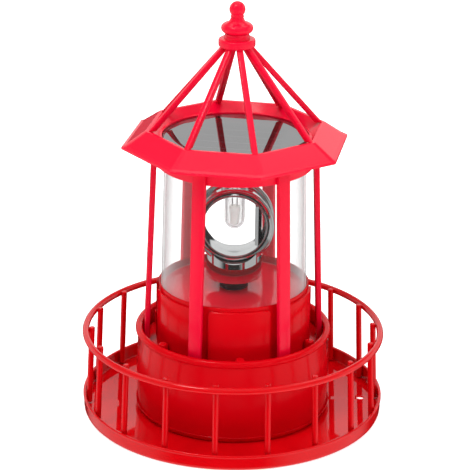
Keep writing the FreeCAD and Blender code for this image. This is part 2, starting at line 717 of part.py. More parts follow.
# ---------------------------------------------------------------- roof
def make_roof_shell():
    """The octagonal roof: stepped eave, sloped band, sunk well and the panel's ledge."""
    body = new_body("roof_shell")
    octagon_pad(body, "eave", d.eave_r, d.eave_low, d.eave_top - d.eave_low)
    octagon_loft(body, "eave_slope", (d.eave_r, d.eave_top), (d.crease_r, d.crease_z))
    octagon_loft(body, "band", (d.crease_r, d.crease_z), (d.crown_r, d.crown_z))
    octagon_loft(body, "well", (d.well_r, d.panel_z),
                 (d.crown_r - d.crown_land, d.crown_z), cut=True)
    octagon_pad(body, "plate_pocket", d.eave_r - d.eave_wall, d.eave_low, d.plate + 0.1, cut=True)
    ledge_top = d.panel_z - d.cover_sheet - d.cell_sheet - d.back_sheet - d.seal_sheet
    centre = (Size.of(0), Size.of(0))
    cylinder(body, "panel_seat", d.panel_r + d.panel_gap, d.crown_z - ledge_top,
             (*centre, ledge_top), cut=True)
    cylinder(body, "battery_room", d.ledge_r, ledge_top - d.eave_low, (*centre, d.eave_low),
             cut=True)
    pocket_low = d.plate_z + d.plate
    boss_low = d.glass_top + d.ceiling + 0.1
    boss = cylinder(body, "cover_boss", d.roof_boss_r, ledge_top - boss_low,
                    polar(d.roof_boss_circle_r, d.roof_boss_turn, boss_low))
    around(body, "cover_bosses", [boss], d.roof_boss_count)
    boss_hole = cylinder(body, "cover_boss_hole", d.small_screw_r + d.screw_gap,
                         d.small_screw_length,
                         polar(d.roof_boss_circle_r, d.roof_boss_turn, boss_low), cut=True)
    around(body, "cover_boss_holes", [boss_hole], d.roof_boss_count)
    depth = d.roof_screw_length - d.plate + 0.3
    hole = cylinder(body, "screw_hole", d.screw_r + d.screw_gap, depth,
                    polar(d.roof_screw_circle_r, d.roof_screw_turn, pocket_low), cut=True)
    around(body, "screw_holes", [hole], d.roof_screw_count)
    block(body, "switch_pocket",
          (d.switch_width + 2 * d.switch_gap, d.switch_depth + 2 * d.switch_gap,
           d.switch_height + d.switch_gap), (Size.of(0), d.switch_y, pocket_low), cut=True)


def make_roof_cage():
    """Eight straight ribs from the crown's corners up to a round hub."""
    body = new_body("roof_cage")
    turned(body, "hub", [
        (0, d.hub_low),
        (d.hub_r - d.hub_round, d.hub_low, d.hub_round, 1),
        (d.hub_r, d.hub_low + d.hub_round),
        (d.hub_r, d.hub_top - d.hub_round, d.hub_round, 1),
        (d.hub_r - d.hub_round, d.hub_top),
        (0, d.hub_top),
    ])
    sections = []
    foot_r = d.crown_r - d.rib_inset
    head_r = d.hub_r - 2.4
    for label, outer_r, height in (("foot", foot_r, d.crown_z), ("head", head_r, d.hub_low + 1)):
        sketch = sketch_on(body, f"rib_{label}", "XY_Plane", height)
        half = d.rib_width / 2
        near, far = outer_r - d.rib_depth * 1.35, outer_r
        angle = Size.of(HALF_EIGHTH)
        out_x, out_y = sine(angle), -cosine(angle)
        corners = []
        for radius, across in ((near, half), (far, half), (far, -half), (near, -half)):
            corners.append((radius * out_x - across * out_y, radius * out_y + across * out_x))
        sections.append(outline(sketch, corners))
    rib = body.newObject("PartDesign::AdditiveLoft", "rib")
    rib.Profile = sections[0]
    rib.Sections = [sections[1]]
    rib.Ruled = True
    around(body, "ribs", [rib], d.rib_count)


def make_finial():
    """The turned knob on the hub: waist, bead, neck and ball."""
    body = new_body("finial")
    bead_top = d.bead_z + 2.9
    bead_low = d.bead_z - 2.5
    neck_r = d.neck_r
    ball_join_z = d.ball_z - d.ball_r * 0.66
    ball_join_r = d.ball_r * 0.7513
    turned(body, "knob", [
        (0, d.hub_top),
        (d.waist_r + 0.6, d.hub_top),
        (d.waist_r + 0.6, d.hub_top + 0.9),
        (d.waist_r, bead_low, Size.of(2.9), 1),
        (d.bead_r, d.bead_z, Size.of(2.4), 1),
        (d.bead_r - 2.6, bead_top - 0.7),
        (neck_r + 0.9, bead_top, Size.of(4.0), -1),
        (neck_r, d.neck_z),
        (ball_join_r, ball_join_z, d.ball_r, 1),
        (d.ball_r, d.ball_z, d.ball_r, 1),
        (0, d.ball_z + d.ball_r),
    ])


# ---------------------------------------------------------------- solar panel
def make_solar_panel():
    """The panel's layers: clear cover, silicon cell, black backing and foam seal."""
    cover_low = d.panel_z - d.cover_sheet
    dome_r = (d.cover_bend * d.cover_bend + d.cover_fall * d.cover_fall) / (2 * d.cover_fall)
    turned(new_body("panel_cover"), "lens", [
        (0, cover_low),
        (d.panel_r, cover_low),
        (d.panel_r, d.panel_z - d.cover_fall, dome_r, 1),
        (d.panel_r - d.cover_bend, d.panel_z),
        (0, d.panel_z),
    ])
    cell_low = cover_low - d.cell_sheet
    cell = DOC.addObject("Part::Box", "solar_cell_wafer")
    front = d.panel_r - d.cell_front_inset
    bind(cell, "Length", 2 * front)
    bind(cell, "Width", front + d.panel_r - d.cell_back_inset)
    bind(cell, "Height", d.cell_sheet)
    bind(cell, "Placement.Base.x", -front)
    bind(cell, "Placement.Base.y", -front)
    bind(cell, "Placement.Base.z", cell_low)
    keep(cell, "solar_cell")
    back_low = cell_low - d.back_sheet
    turned(new_body("panel_backing"), "disc", [
        (0, back_low), (d.panel_r, back_low), (d.panel_r, cell_low), (0, cell_low),
    ])
    body = new_body("panel_seal")
    seal_low = back_low - d.seal_sheet
    near, far = d.ledge_r + d.seal_inset, d.panel_r - d.seal_inset
    turned(body, "ring", [(near, seal_low), (far, seal_low), (far, back_low), (near, back_low)])


# ---------------------------------------------------------------- lamp and electronics
def make_ceiling_cover():
    """The disc that closes the skirt, holds the lamp and carries the board and battery."""
    body = new_body("ceiling_cover")
    outer_r = d.skirt_r - d.skirt_wall - d.ceiling_gap
    low = d.glass_top
    turned(body, "disc", [(d.bulb_r + 0.6, low), (outer_r, low), (outer_r, low + d.ceiling),
                          (d.bulb_r + 0.6, low + d.ceiling)])
    top = low + d.ceiling
    for side_x in (-1, 1):
        for side_y in (-1, 1):
            x = side_x * (d.board_width / 2 - 3)
            y = d.board_y + side_y * (d.board_length / 2 - 3)
            cylinder(body, f"standoff_{side_x + 1}{side_y + 1}", d.standoff_r, d.standoff,
                     (x, y, top))
    hole = cylinder(body, "screw_hole", d.small_screw_r + d.screw_gap, d.ceiling * 3,
                    polar(d.roof_boss_circle_r, d.roof_boss_turn, low - d.ceiling), cut=True)
    around(body, "screw_holes", [hole], d.roof_boss_count)


def make_ceiling_screws():
    """Small screws that hold the ceiling cover up to the roof's bosses."""
    body = new_body("ceiling_screws")
    spot = polar(d.roof_boss_circle_r, d.roof_boss_turn, d.glass_top - d.small_head)
    head = cylinder(body, "head", d.small_head_r, d.small_head, spot)
    shank = cylinder(body, "shank", d.small_screw_r, d.small_head + d.small_screw_length, spot)
    around(body, "screws", [head, shank], d.roof_boss_count)


def make_lamp():
    """Holder, clear bulb sleeve with a domed end, lead-frame cup and its two leads."""
    body = new_body("led_holder")
    bore_r = d.bulb_r + d.bulb_gap
    turned(body, "holder", [
        (bore_r, d.holder_low), (d.holder_r - 1, d.holder_low),
        (d.holder_r, d.holder_low + 1.5), (d.holder_r, d.glass_top), (bore_r, d.glass_top),
    ])
    body = new_body("led_bulb")
    dome_z = d.bulb_low + d.bulb_r
    inner_r = d.bulb_r - d.bulb_wall
    turned(body, "sleeve", [
        (0, d.bulb_low, d.bulb_r, 1),
        (d.bulb_r, dome_z),
        (d.bulb_r, d.glass_top),
        (inner_r, d.glass_top),
        (inner_r, dome_z, inner_r, -1),
        (0, d.bulb_low + d.bulb_wall),
    ])
    body = new_body("led_chip")
    turned(body, "cup", [
        (0, d.lamp_cup_low), (d.lamp_cup_r - 0.5, d.lamp_cup_low),
        (d.lamp_cup_r, d.lamp_cup_top), (0, d.lamp_cup_top),
    ])
    body = new_body("led_leads")
    board_low = d.glass_top + d.ceiling + d.standoff
    for name, side in (("anode", -1), ("cathode", 1)):
        cylinder(body, name, d.lead_r, board_low - d.lamp_cup_top,
                 (side * d.lead_apart / 2, Size.of(0), d.lamp_cup_top))


def make_battery():
    """A small round cell lying in a walled cradle with a contact at each end."""
    floor = d.glass_top + d.ceiling
    inner_length = d.battery_length + 2 * d.contact + 0.2
    inner_width = 2 * d.battery_r + 0.3
    body = new_body("battery_cradle")
    outer = (inner_length + 2 * d.cradle_wall, inner_width + 2 * d.cradle_wall, d.cradle_height)
    block(body, "walls", outer, (Size.of(0), d.battery_y, floor))
    block(body, "well", (inner_length, inner_width, d.cradle_height * 3),
          (Size.of(0), d.battery_y, floor - d.cradle_height), cut=True)
    cell = DOC.addObject("Part::Cylinder", "battery_can")
    bind(cell, "Radius", d.battery_r)
    bind(cell, "Height", d.battery_length)
    cell.Placement.Rotation = FreeCAD.Rotation(FreeCAD.Vector(0, 1, 0), 90)
    bind(cell, "Placement.Base.x", -(d.battery_length / 2))
    bind(cell, "Placement.Base.y", d.battery_y)
    bind(cell, "Placement.Base.z", floor + d.battery_r + 0.03)
    keep(cell, "battery_cell")
    body = new_body("battery_contacts")
    for name, side in (("minus", -1), ("plus", 1)):
        x = side * (inner_length / 2 - d.contact / 2)
        block(body, name, (d.contact, d.battery_r * 1.4, d.battery_r * 2 - 1),
              (x, d.battery_y, floor + 0.05))


def make_circuit_board():
    """The charging board on its standoffs, with a few parts on top."""
    low = d.glass_top + d.ceiling + d.standoff
    body = new_body("circuit_board")
    block(body, "board", (d.board_width, d.board_length, d.board), (Size.of(0), d.board_y, low))
    body = new_body("board_parts")
    top = low + d.board
    block(body, "chip", (Size.of(5), Size.of(4), Size.of(1.5)), (Size.of(-9), d.board_y, top))
    cylinder(body, "coil", Size.of(3), Size.of(3), (Size.of(6), d.board_y - 5, top))
    cylinder(body, "capacitor", Size.of(2), Size.of(3.6), (Size.of(14), d.board_y + 4, top))


# ---------------------------------------------------------------- beacon
def make_reflector():
    """The chromed beacon: a beaded ring on its side, standing on a round cup."""
    body = new_body("reflector")
    mid = d.beacon_z
    bore_r = d.spindle_r + d.press_gap
    cup_top = mid - d.ring_body_r * 0.6
    turned(body, "cup", [(bore_r, d.cup_low), (d.cup_r, d.cup_low), (d.cup_r, cup_top),
                         (bore_r, cup_top)])
    across(body, "saddle", d.ring_body_r - 0.5, mid)
    deck_low = mid - d.ring_body_r - 1.5
    wall_r = d.cup_r - d.mirror_cup_wall
    hollow = turned(body, "hollow", [(d.cup_boss_r, d.cup_low), (wall_r, d.cup_low),
                                     (wall_r, deck_low), (d.cup_boss_r, deck_low)], cut=True)
    hollow.Label = "hollow under the deck"
    cylinder(body, "plug_room", wall_r, d.hub_plug, (0, 0, d.cup_low), cut=True)
    sketch = outline(sketch_on(body, "ring_profile", "YZ_Plane"), ring_corners())
    bind(sketch, "AttachmentOffset.Base.y", mid)
    ring = body.newObject("PartDesign::Revolution", "ring")
    ring.Profile = sketch
    ring.ReferenceAxis = (sketch, ["H_Axis"])
    ring.Angle = 360.0
    across(body, "bore", d.bore_r, mid)
    reach = d.bore_r * 0.72
    shade = turned(body, "shade", [
        (d.shade_r - d.shade_wall, mid - reach),
        (d.shade_r, mid - reach),
        (d.shade_r, mid + reach),
        (d.shade_r - d.shade_wall, mid + reach),
    ])
    bind(shade, "Angle", d.shade_sweep)
    shade.Midplane = True
    cylinder(body, "lamp_hole", d.lamp_hole_r, d.ring_bead_r * 2, (0, 0, mid), cut=True)
    bind(body, "Placement.Rotation.Angle", d.beacon_turn)


def across(body, name, radius, height):
    """A bore along Y through the whole beacon."""
    bore = body.newObject("PartDesign::SubtractiveCylinder", name)
    bind(bore, "Radius", radius)
    bind(bore, "Height", 4 * d.ring_half)
    bore.AttachmentSupport = [(origin_part(body, "XZ_Plane"), "")]
    bore.MapMode = "FlatFace"
    bind(bore, "AttachmentOffset.Base.y", height)
    bind(bore, "AttachmentOffset.Base.z", -(2 * d.ring_half))
    return bore


def ring_corners():
    """The ring's section: along its axis and out from it, the same at both ends."""
    half = d.ring_half
    body_r, bead_r, lip_r = d.ring_body_r, d.ring_bead_r, d.bore_r + d.lip_width
    bead_low = bead_r - 2.4
    right = [
        (half - 2.4, body_r, Size.of(1.7), -1),
        (half - 1.2, bead_r, Size.of(1.7), -1),
        (half, bead_low),
        (half - 1.6, lip_r),
        (half - 0.8, lip_r - 0.4),
        (half - 0.8, d.bore_r - 1),
    ]
    left = []
    for index in range(len(right) - 1, -1, -1):
        corner = (-right[index][0], right[index][1])
        if index > 0 and len(right[index - 1]) == 4:
            corner = (*corner, *right[index - 1][2:])
        left.append(corner)
    return right + left


def make_spindle():
    """Upright steel spindle with its black hub, bush and clip."""
    body = new_body("spindle")
    chamfer = Size.of(0.3)
    turned(body, "shaft", [
        (0, d.spindle_low), (d.spindle_r - chamfer, d.spindle_low),
        (d.spindle_r, d.spindle_low + chamfer), (d.spindle_r, d.spindle_top - chamfer),
        (d.spindle_r - chamfer, d.spindle_top), (0, d.spindle_top),
    ])
    body = new_body("beacon_hub")
    low = d.floor_z + d.hub_lift
    bore_r = d.spindle_r + d.press_gap
    plug_r = d.cup_r - d.mirror_cup_wall - d.press_gap
    turned(body, "hub", [
        (bore_r, low), (d.beacon_hub_r - 0.6, low), (d.beacon_hub_r, low + 0.6),
        (d.beacon_hub_r, d.cup_low), (plug_r, d.cup_low), (plug_r, d.cup_low + d.hub_plug),
        (bore_r, d.cup_low + d.hub_plug),
    ])
    body = new_body("spindle_bush")
    cap_top = d.floor_z - d.floor_disc
    cap_low = cap_top - d.drum_cap
    flange_top = cap_top + d.bush_flange
    turned(body, "bush", [
        (d.spindle_r + d.running, cap_low - 1), (d.bush_r - d.press_gap, cap_low - 1),
        (d.bush_r - d.press_gap, cap_top), (d.bush_flange_r, cap_top),
        (d.bush_flange_r, flange_top), (d.spindle_r + d.running, flange_top),
    ])
    body = new_body("spindle_clip")
    clip_top = d.gear_plate_z - 0.1
    turned(body, "clip", [
        (d.spindle_r + d.press_gap, clip_top - d.clip), (d.clip_r, clip_top - d.clip),
        (d.clip_r, clip_top), (d.spindle_r + d.press_gap, clip_top),
    ])


# ---------------------------------------------------------------- gears and motor
def pitch_radius(module, teeth):
    return module * teeth / 2


def idler_place():
    """The idler stands behind the spindle, one centre distance away."""
    reach = pitch_radius(d.coarse, d.spindle_teeth) + pitch_radius(d.coarse, d.idler_teeth)
    return (Size.of(0), reach)


def motor_place():
    """The motor's shaft, one fine centre distance from the idler, at motor_turn from +X."""
    reach = pitch_radius(d.fine, d.wheel_teeth) + pitch_radius(d.fine, d.pinion_teeth)
    idler = idler_place()
    return (idler[0] + reach * cosine(d.motor_turn), idler[1] + reach * sine(d.motor_turn))


def half_gap(module, pitch_r, step):
    """Half the tooth gap's width at a height over the pitch circle, close to an involute."""
    middle = module * (math.pi / 4) + d.backlash / 4
    return middle + step * FLANK_SLOPE + step * step * FLANK_BEND / pitch_r


def gear_solid(name, module, teeth, low, height, bore_r, phase, place):
    """A spur gear: a blank, one gap with curved flanks, the gap repeated, and a bore."""
    body = DOC.addObject("PartDesign::Body", name)
    pitch_r = pitch_radius(module, teeth)
    tip = module * TIP_HEIGHT
    root = -(module * TOOTH_DEPTH)
    beyond = tip + 0.3
    cylinder(body, name + "_blank", pitch_r + tip, height, (0, 0, low))
    sketch = sketch_on(body, name + "_gap_outline", "XY_Plane", low)
    flank_r = pitch_r * FLANK_RADIUS
    root_half = half_gap(module, pitch_r, root)
    tip_half = half_gap(module, pitch_r, tip)
    out_half = tip_half + 0.2
    outline(sketch, [
        (pitch_r + root, -root_half, flank_r, -1),
        (pitch_r + tip, -tip_half),
        (pitch_r + beyond, -out_half),
        (pitch_r + beyond, out_half),
        (pitch_r + tip, tip_half, flank_r, -1),
        (pitch_r + root, root_half),
    ])
    gap = body.newObject("PartDesign::Pocket", name + "_gap")
    gap.Profile = sketch
    gap.Reversed = True
    bind(gap, "Length", height)
    around(body, name + "_gaps", [gap], teeth)
    cylinder(body, name + "_bore", bore_r, height, (0, 0, low), cut=True)
    bind(body, "Placement.Base.x", place[0])
    bind(body, "Placement.Base.y", place[1])
    bind(body, "Placement.Rotation.Angle", phase)
    return body


def tooth_step(teeth):
    """Angle from one tooth to the next."""
    return Size.of(360.0) / teeth


def gap_phase(direction, teeth):
    """Turn that brings a gap to a direction."""
    step = 360.0 / teeth.number
    whole = math.floor(direction.number / step)
    return direction - whole * tooth_step(teeth)


def make_gears():
    """Spindle gear, stepped idler with its pin, and the motor's pinion on its shaft."""
    zero = (Size.of(0), Size.of(0))
    idler = idler_place()
    motor = motor_place()
    to_idler = Size.of(90.0)
    from_spindle = Size.of(270.0)
    spindle_bore = d.spindle_r + d.press_gap
    gear = gear_solid("spindle_gear_body", d.coarse, d.spindle_teeth, d.spindle_gear_z,
                      d.spindle_gear, spindle_bore, gap_phase(to_idler, d.spindle_teeth), zero)
    keep(gear, "spindle_gear")
    idler_bore = d.idler_pin_r + d.running
    tooth_phase = gap_phase(from_spindle, d.idler_teeth) + tooth_step(d.idler_teeth) / 2
    wheel_top = d.idler_z + d.wheel
    upper = gear_solid("idler_upper", d.coarse, d.idler_teeth, wheel_top, d.idler_top - wheel_top,
                       idler_bore, tooth_phase, idler)
    lower = gear_solid("idler_wheel", d.fine, d.wheel_teeth, d.idler_z, d.wheel, idler_bore,
                       gap_phase(d.motor_turn, d.wheel_teeth), idler)
    pair = DOC.addObject("Part::MultiFuse", "idler_pair")
    pair.Shapes = [upper, lower]
    keep(pair, "idler_gear")
    back_turn = d.motor_turn + 180.0
    pinion_phase = gap_phase(back_turn, d.pinion_teeth) + tooth_step(d.pinion_teeth) / 2
    pinion_bore = d.motor_shaft_r + d.press_gap / 2
    pinion = gear_solid("motor_pinion_teeth", d.fine, d.pinion_teeth, d.pinion_low,
                        d.pinion_length, pinion_bore, pinion_phase, motor)
    keep(pinion, "motor_pinion")
    shaft = DOC.addObject("Part::Cylinder", "motor_shaft_rod")
    shaft_low = d.gear_plate_z - d.motor_shaft_depth + 0.1
    bind(shaft, "Radius", d.motor_shaft_r)
    bind(shaft, "Height", d.pinion_top - shaft_low)
    bind(shaft, "Placement.Base.x", motor[0])
    bind(shaft, "Placement.Base.y", motor[1])
    bind(shaft, "Placement.Base.z", shaft_low)
    keep(shaft, "motor_shaft")
    pin = DOC.addObject("Part::Cylinder", "idler_axle")
    pin_top = d.floor_z - d.floor_disc - d.drum_cap / 2 - 0.05
    bind(pin, "Radius", d.idler_pin_r)
    bind(pin, "Height", pin_top - d.gear_plate_z)
    bind(pin, "Placement.Base.x", idler[0])
    bind(pin, "Placement.Base.y", idler[1])
    bind(pin, "Placement.Base.z", d.gear_plate_z)
    keep(pin, "idler_pin")


def make_gear_plate():
    """The plate under the gears: it carries the motor, the idler's pin and the spindle."""
    body = new_body("gear_plate")
    low, thick = d.gear_plate_z, d.gear_plate
    idler, motor = idler_place(), motor_place()
    cylinder(body, "disc", d.gear_plate_r, thick, (0, 0, low))
    below = low - thick
    cylinder(body, "spindle_hole", d.spindle_r + d.running, thick * 3, (0, 0, below), cut=True)
    pin_hole = d.idler_pin_r + d.press_gap / 2
    cylinder(body, "idler_hole", pin_hole, thick * 3, (*idler, below), cut=True)
    cylinder(body, "motor_hole", d.motor_nose_r + 0.1, thick * 3, (*motor, below), cut=True)
    for side in (-1, 1):
        cylinder(body, f"motor_screw_hole_{side + 1}", d.small_screw_r + d.screw_gap, thick * 3,
                 (motor[0] + side * d.motor_screw_apart / 2, motor[1], below), cut=True)
    hole = cylinder(body, "pillar_screw_hole", d.small_screw_r + d.screw_gap, thick * 3,
                    polar(d.pillar_circle_r, d.pillar_turn, below), cut=True)
    around(body, "pillar_screw_holes", [hole], d.pillar_count)


def make_plate_screws():
    """Small screws that hold the gear plate to the drum's pillars."""
    body = new_body("plate_screws")
    spot = polar(d.pillar_circle_r, d.pillar_turn, d.gear_plate_z - d.small_head)
    head = cylinder(body, "head", d.small_head_r, d.small_head, spot)
    length = d.small_head + d.gear_plate + d.small_screw_length - 0.3
    shank = cylinder(body, "shank", d.small_screw_r, length, spot)
    around(body, "screws", [head, shank], d.pillar_count)


def make_motor():
    """A small round motor, its nose in the gear plate, held by two screws."""
    motor = motor_place()
    body = new_body("motor")
    top = d.gear_plate_z
    low = top - d.motor_length
    cylinder(body, "can", d.motor_r, d.motor_length, (*motor, low))
    cylinder(body, "nose", d.motor_nose_r, d.motor_nose, (*motor, top))
    cylinder(body, "rear_bearing", d.motor_nose_r, Size.of(1.2), (*motor, low - 1.2))
    cylinder(body, "shaft_bore", d.motor_shaft_r + d.running,
             d.motor_shaft_depth + d.motor_nose, (*motor, top - d.motor_shaft_depth), cut=True)
    screws = new_body("motor_screws")
    plate_top = top + d.gear_plate
    depth = 2.0
    for side in (-1, 1):
        x = motor[0] + side * d.motor_screw_apart / 2
        cylinder(body, f"screw_bore_{side + 1}", d.small_screw_r + d.screw_gap, Size.of(depth),
                 (x, motor[1], top - depth), cut=True)
        cylinder(screws, f"shank_{side + 1}", d.small_screw_r, d.gear_plate + depth - 0.1,
                 (x, motor[1], plate_top - d.gear_plate - depth + 0.1))
        cylinder(screws, f"head_{side + 1}", d.small_head_r - 0.3, Size.of(0.8),
                 (x, motor[1], plate_top))


# ---------------------------------------------------------------- slide switch
def make_switch():
    """A small slide switch in the roof, its knob reaching down through the plate's slot."""
    low = d.plate_z + d.plate + 0.05
    back = d.switch_y
    body = new_body("switch_body")
    block(body, "case", (d.switch_width, d.switch_depth, d.switch_height - 0.05),
          (Size.of(0), back, low))
    block(body, "slot", (d.knob_width + d.switch_travel + 0.6, d.knob_depth + 0.3,
                         d.knob_rise + 0.25), (Size.of(0), back, low), cut=True)
    body = new_body("switch_knob")
    knob_low = d.plate_z - d.knob_drop
    start_x = -(d.switch_travel / 2)
    block(body, "stem", (d.knob_width, d.knob_depth, low + d.knob_rise - knob_low),
          (start_x, back, knob_low))
    block(body, "grip_groove", (Size.of(0.5), d.knob_depth * 2, Size.of(0.4)),
          (start_x, back, knob_low), cut=True)


# ---------------------------------------------------------------- build, check and write
def build_all():
    for make in (make_tray, make_rail_ring, make_rail_posts, make_base_cup, make_cup_screws,
                 make_motor_housing, make_locating_pegs, make_lantern_floor,
                 make_lantern_glass, make_lantern_frame, make_frame_screws, make_roof_shell,
                 make_roof_cage, make_finial, make_solar_panel, make_ceiling_cover,
                 make_ceiling_screws, make_lamp, make_battery, make_circuit_board,
                 make_reflector, make_spindle, make_gears, make_gear_plate, make_plate_screws,
                 make_motor, make_switch):
        make()
    DOC.recompute()


def check_document():
    """Stops on any object that failed, or any sub-part without a valid solid."""
    failed = []
    for thing in DOC.Objects:
        if "Invalid" in thing.State or "Error" in thing.State:
            failed.append(f"{thing.Label} ({thing.Name})")
    if failed:
        raise RuntimeError("failed: " + ", ".join(failed))
    for piece in PIECES:
        shape = piece.Shape
        if shape.isNull() or not shape.isValid() or not shape.Solids:
            raise RuntimeError(f"{piece.Label} has no valid solid")
        print(f"{piece.Label:18s} solids {len(shape.Solids):3d} volume {shape.Volume:12.2f}")


def write_parts():
    os.makedirs("parts", exist_ok=True)
    for piece in PIECES:
        piece.Shape.exportStep(f"parts/{piece.Label}.step")


build_all()
check_document()
write_parts()
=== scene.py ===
"""Looks of the garden lighthouse ornament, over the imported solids.

Sizes in the classes are millimetres, counted from the centre of the tray's underside with
+Z up and -Y towards the front.  Angles are degrees from the front towards +X.
"""
from __future__ import annotations

import logging
import math
from collections.abc import Callable, Iterable, Sequence
from dataclasses import dataclass
from enum import Enum

import bmesh
import bpy
from mathutils import Matrix, Vector


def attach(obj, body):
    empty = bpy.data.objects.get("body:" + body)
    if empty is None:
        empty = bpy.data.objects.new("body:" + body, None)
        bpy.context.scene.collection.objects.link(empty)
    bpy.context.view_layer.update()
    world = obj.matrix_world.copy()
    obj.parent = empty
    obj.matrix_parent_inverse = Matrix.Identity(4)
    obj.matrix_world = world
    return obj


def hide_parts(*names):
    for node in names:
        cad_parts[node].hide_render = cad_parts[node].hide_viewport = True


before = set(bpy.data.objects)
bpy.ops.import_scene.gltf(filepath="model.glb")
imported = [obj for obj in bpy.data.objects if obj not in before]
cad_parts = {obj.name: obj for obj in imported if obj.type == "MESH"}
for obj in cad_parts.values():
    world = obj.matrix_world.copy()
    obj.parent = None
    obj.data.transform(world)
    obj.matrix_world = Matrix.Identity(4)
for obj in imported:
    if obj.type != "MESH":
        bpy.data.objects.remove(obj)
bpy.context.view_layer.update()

LOG = logging.getLogger("lighthouse")
MM = 0.001  # metres in a millimetre
SEGMENTS = 144  # steps round a turned piece
TOUCHING = 1e-7  # metres; points closer than this are one
ON_AXIS = 1e-6  # millimetres; a smaller radius lies on the axis

Corner = tuple[float, ...]
Point = tuple[float, float]


class Slot(str, Enum):
    """Material slots of the record that pieces take their finish from."""

    ENAMEL = "red_enamel"
    PLASTIC = "red_plastic"
    GLOSS = "red_gloss"
    CLEAR = "clear"
    STEEL = "steel"
    BLACK = "black_plastic"
    NYLON = "nylon"
    BRASS = "brass"
    SILICON = "silicon"
    FOAM = "foam"
    LAMP_CUP = "lamp_cup"
    BATTERY = "battery_wrap"
    BOARD = "board_green"
    BOARD_PARTS = "board_parts"
    CHROME = "chrome"


# ------------------------------------------------------------------ finishes
def feed(tree: bpy.types.NodeTree, value: object, socket: bpy.types.NodeSocket) -> None:
    """Joins an output to an input, or sets the input to a plain value.

    Args:
        tree: The tree that both are in.
        value: The output's socket or the plain value.
        socket: The input's socket.
    """
    if isinstance(value, bpy.types.NodeSocket):
        tree.links.new(value, socket)
    else:
        socket.default_value = value


class Wiring:
    """A material's node tree with short calls to add and join nodes."""

    NOISE_LOW = 0.3  # most of a noise lies between these two values
    NOISE_HIGH = 0.7

    def __init__(self, name: str) -> None:
        """Starts an empty material with a Principled shader.

        Args:
            name: The material's name.
        """
        self.material = bpy.data.materials.new(name)
        self.material.use_nodes = True
        self.tree = self.material.node_tree
        self.shader = self.tree.nodes["Principled BSDF"]
        self.place = self.tree.nodes.new("ShaderNodeTexCoord").outputs["Object"]

    def node(self, kind: str, **values: object) -> bpy.types.Node:
        """Adds a node and sets its inputs by name.

        Args:
            kind: Blender's node type.
            values: Input values; underscores stand for spaces in the socket names.

        Returns:
            The new node.
        """
        made = self.tree.nodes.new(kind)
        for name, value in values.items():
            feed(self.tree, value, made.inputs[name.replace("_", " ")])
        return made

    def link(self, output: bpy.types.NodeSocket, name: str) -> None:
        """Joins an output to the shader's input of that name."""
        self.tree.links.new(output, self.shader.inputs[name])

    def maths(self, operation: str, *values: object) -> bpy.types.NodeSocket:
        """Adds a math node.

        Args:
            operation: Blender's name for what it does.
            values: Its inputs in order, sockets or numbers.

        Returns:
            The result's socket.
        """
        made = self.tree.nodes.new("ShaderNodeMath")
        made.operation = operation
        for value, socket in zip(values, made.inputs):
            feed(self.tree, value, socket)
        return made.outputs["Value"]

    def noise(self, scale: float, detail: float = 3.0) -> bpy.types.NodeSocket:
        """Noise over the object's own coordinates, its scale counted per metre."""
        made = self.node("ShaderNodeTexNoise", Vector=self.place, Scale=scale, Detail=detail)
        return made.outputs["Fac"]

    def spread(self, value: bpy.types.NodeSocket, low: float, high: float) -> bpy.types.NodeSocket:
        """Maps the middle of a noise value onto a range.

        Args:
            value: The noise's socket.
            low: Result at the noise's lower values.
            high: Result at its upper values.

        Returns:
            The mapped value's socket.
        """
        made = self.node("ShaderNodeMapRange", Value=value, From_Min=self.NOISE_LOW,
                         From_Max=self.NOISE_HIGH, To_Min=low, To_Max=high)
        return made.outputs["Result"]

    def blend(self, value: bpy.types.NodeSocket, first: Sequence[float],
              second: Sequence[float]) -> bpy.types.NodeSocket:
        """Mixes two colours by a value.

        Args:
            value: Mixing value from 0 to 1.
            first: Colour at 0.
            second: Colour at 1.

        Returns:
            The mixed colour's socket.
        """
        made = self.tree.nodes.new("ShaderNodeMix")
        made.data_type = "RGBA"
        self.tree.links.new(value, made.inputs["Factor"])
        sockets = [s for s in made.inputs if s.name in "AB" and s.type == "RGBA"]
        for socket, colour in zip(sockets, (first, second)):
            socket.default_value = (*colour, 1.0)
        return next(s for s in made.outputs if s.type == "RGBA")

    def bump(self, height: bpy.types.NodeSocket, depth: float) -> None:
        """Raises a relief on the surface, its depth in millimetres."""
        made = self.node("ShaderNodeBump", Strength=1.0, Distance=depth * MM, Height=height)
        self.link(made.outputs["Normal"], "Normal")


def shader_of(material: bpy.types.Material) -> bpy.types.bpy_prop_collection:
    """The inputs of a material's Principled shader."""
    return material.node_tree.nodes["Principled BSDF"].inputs


def set_glow(material: bpy.types.Material, strength: float, blue: float = 1.0) -> None:
    """Lets a material give off a little white light, with its share of blue."""
    shader_of(material)["Emission Color"].default_value = (1.0, 1.0, blue, 1.0)
    shader_of(material)["Emission Strength"].default_value = strength


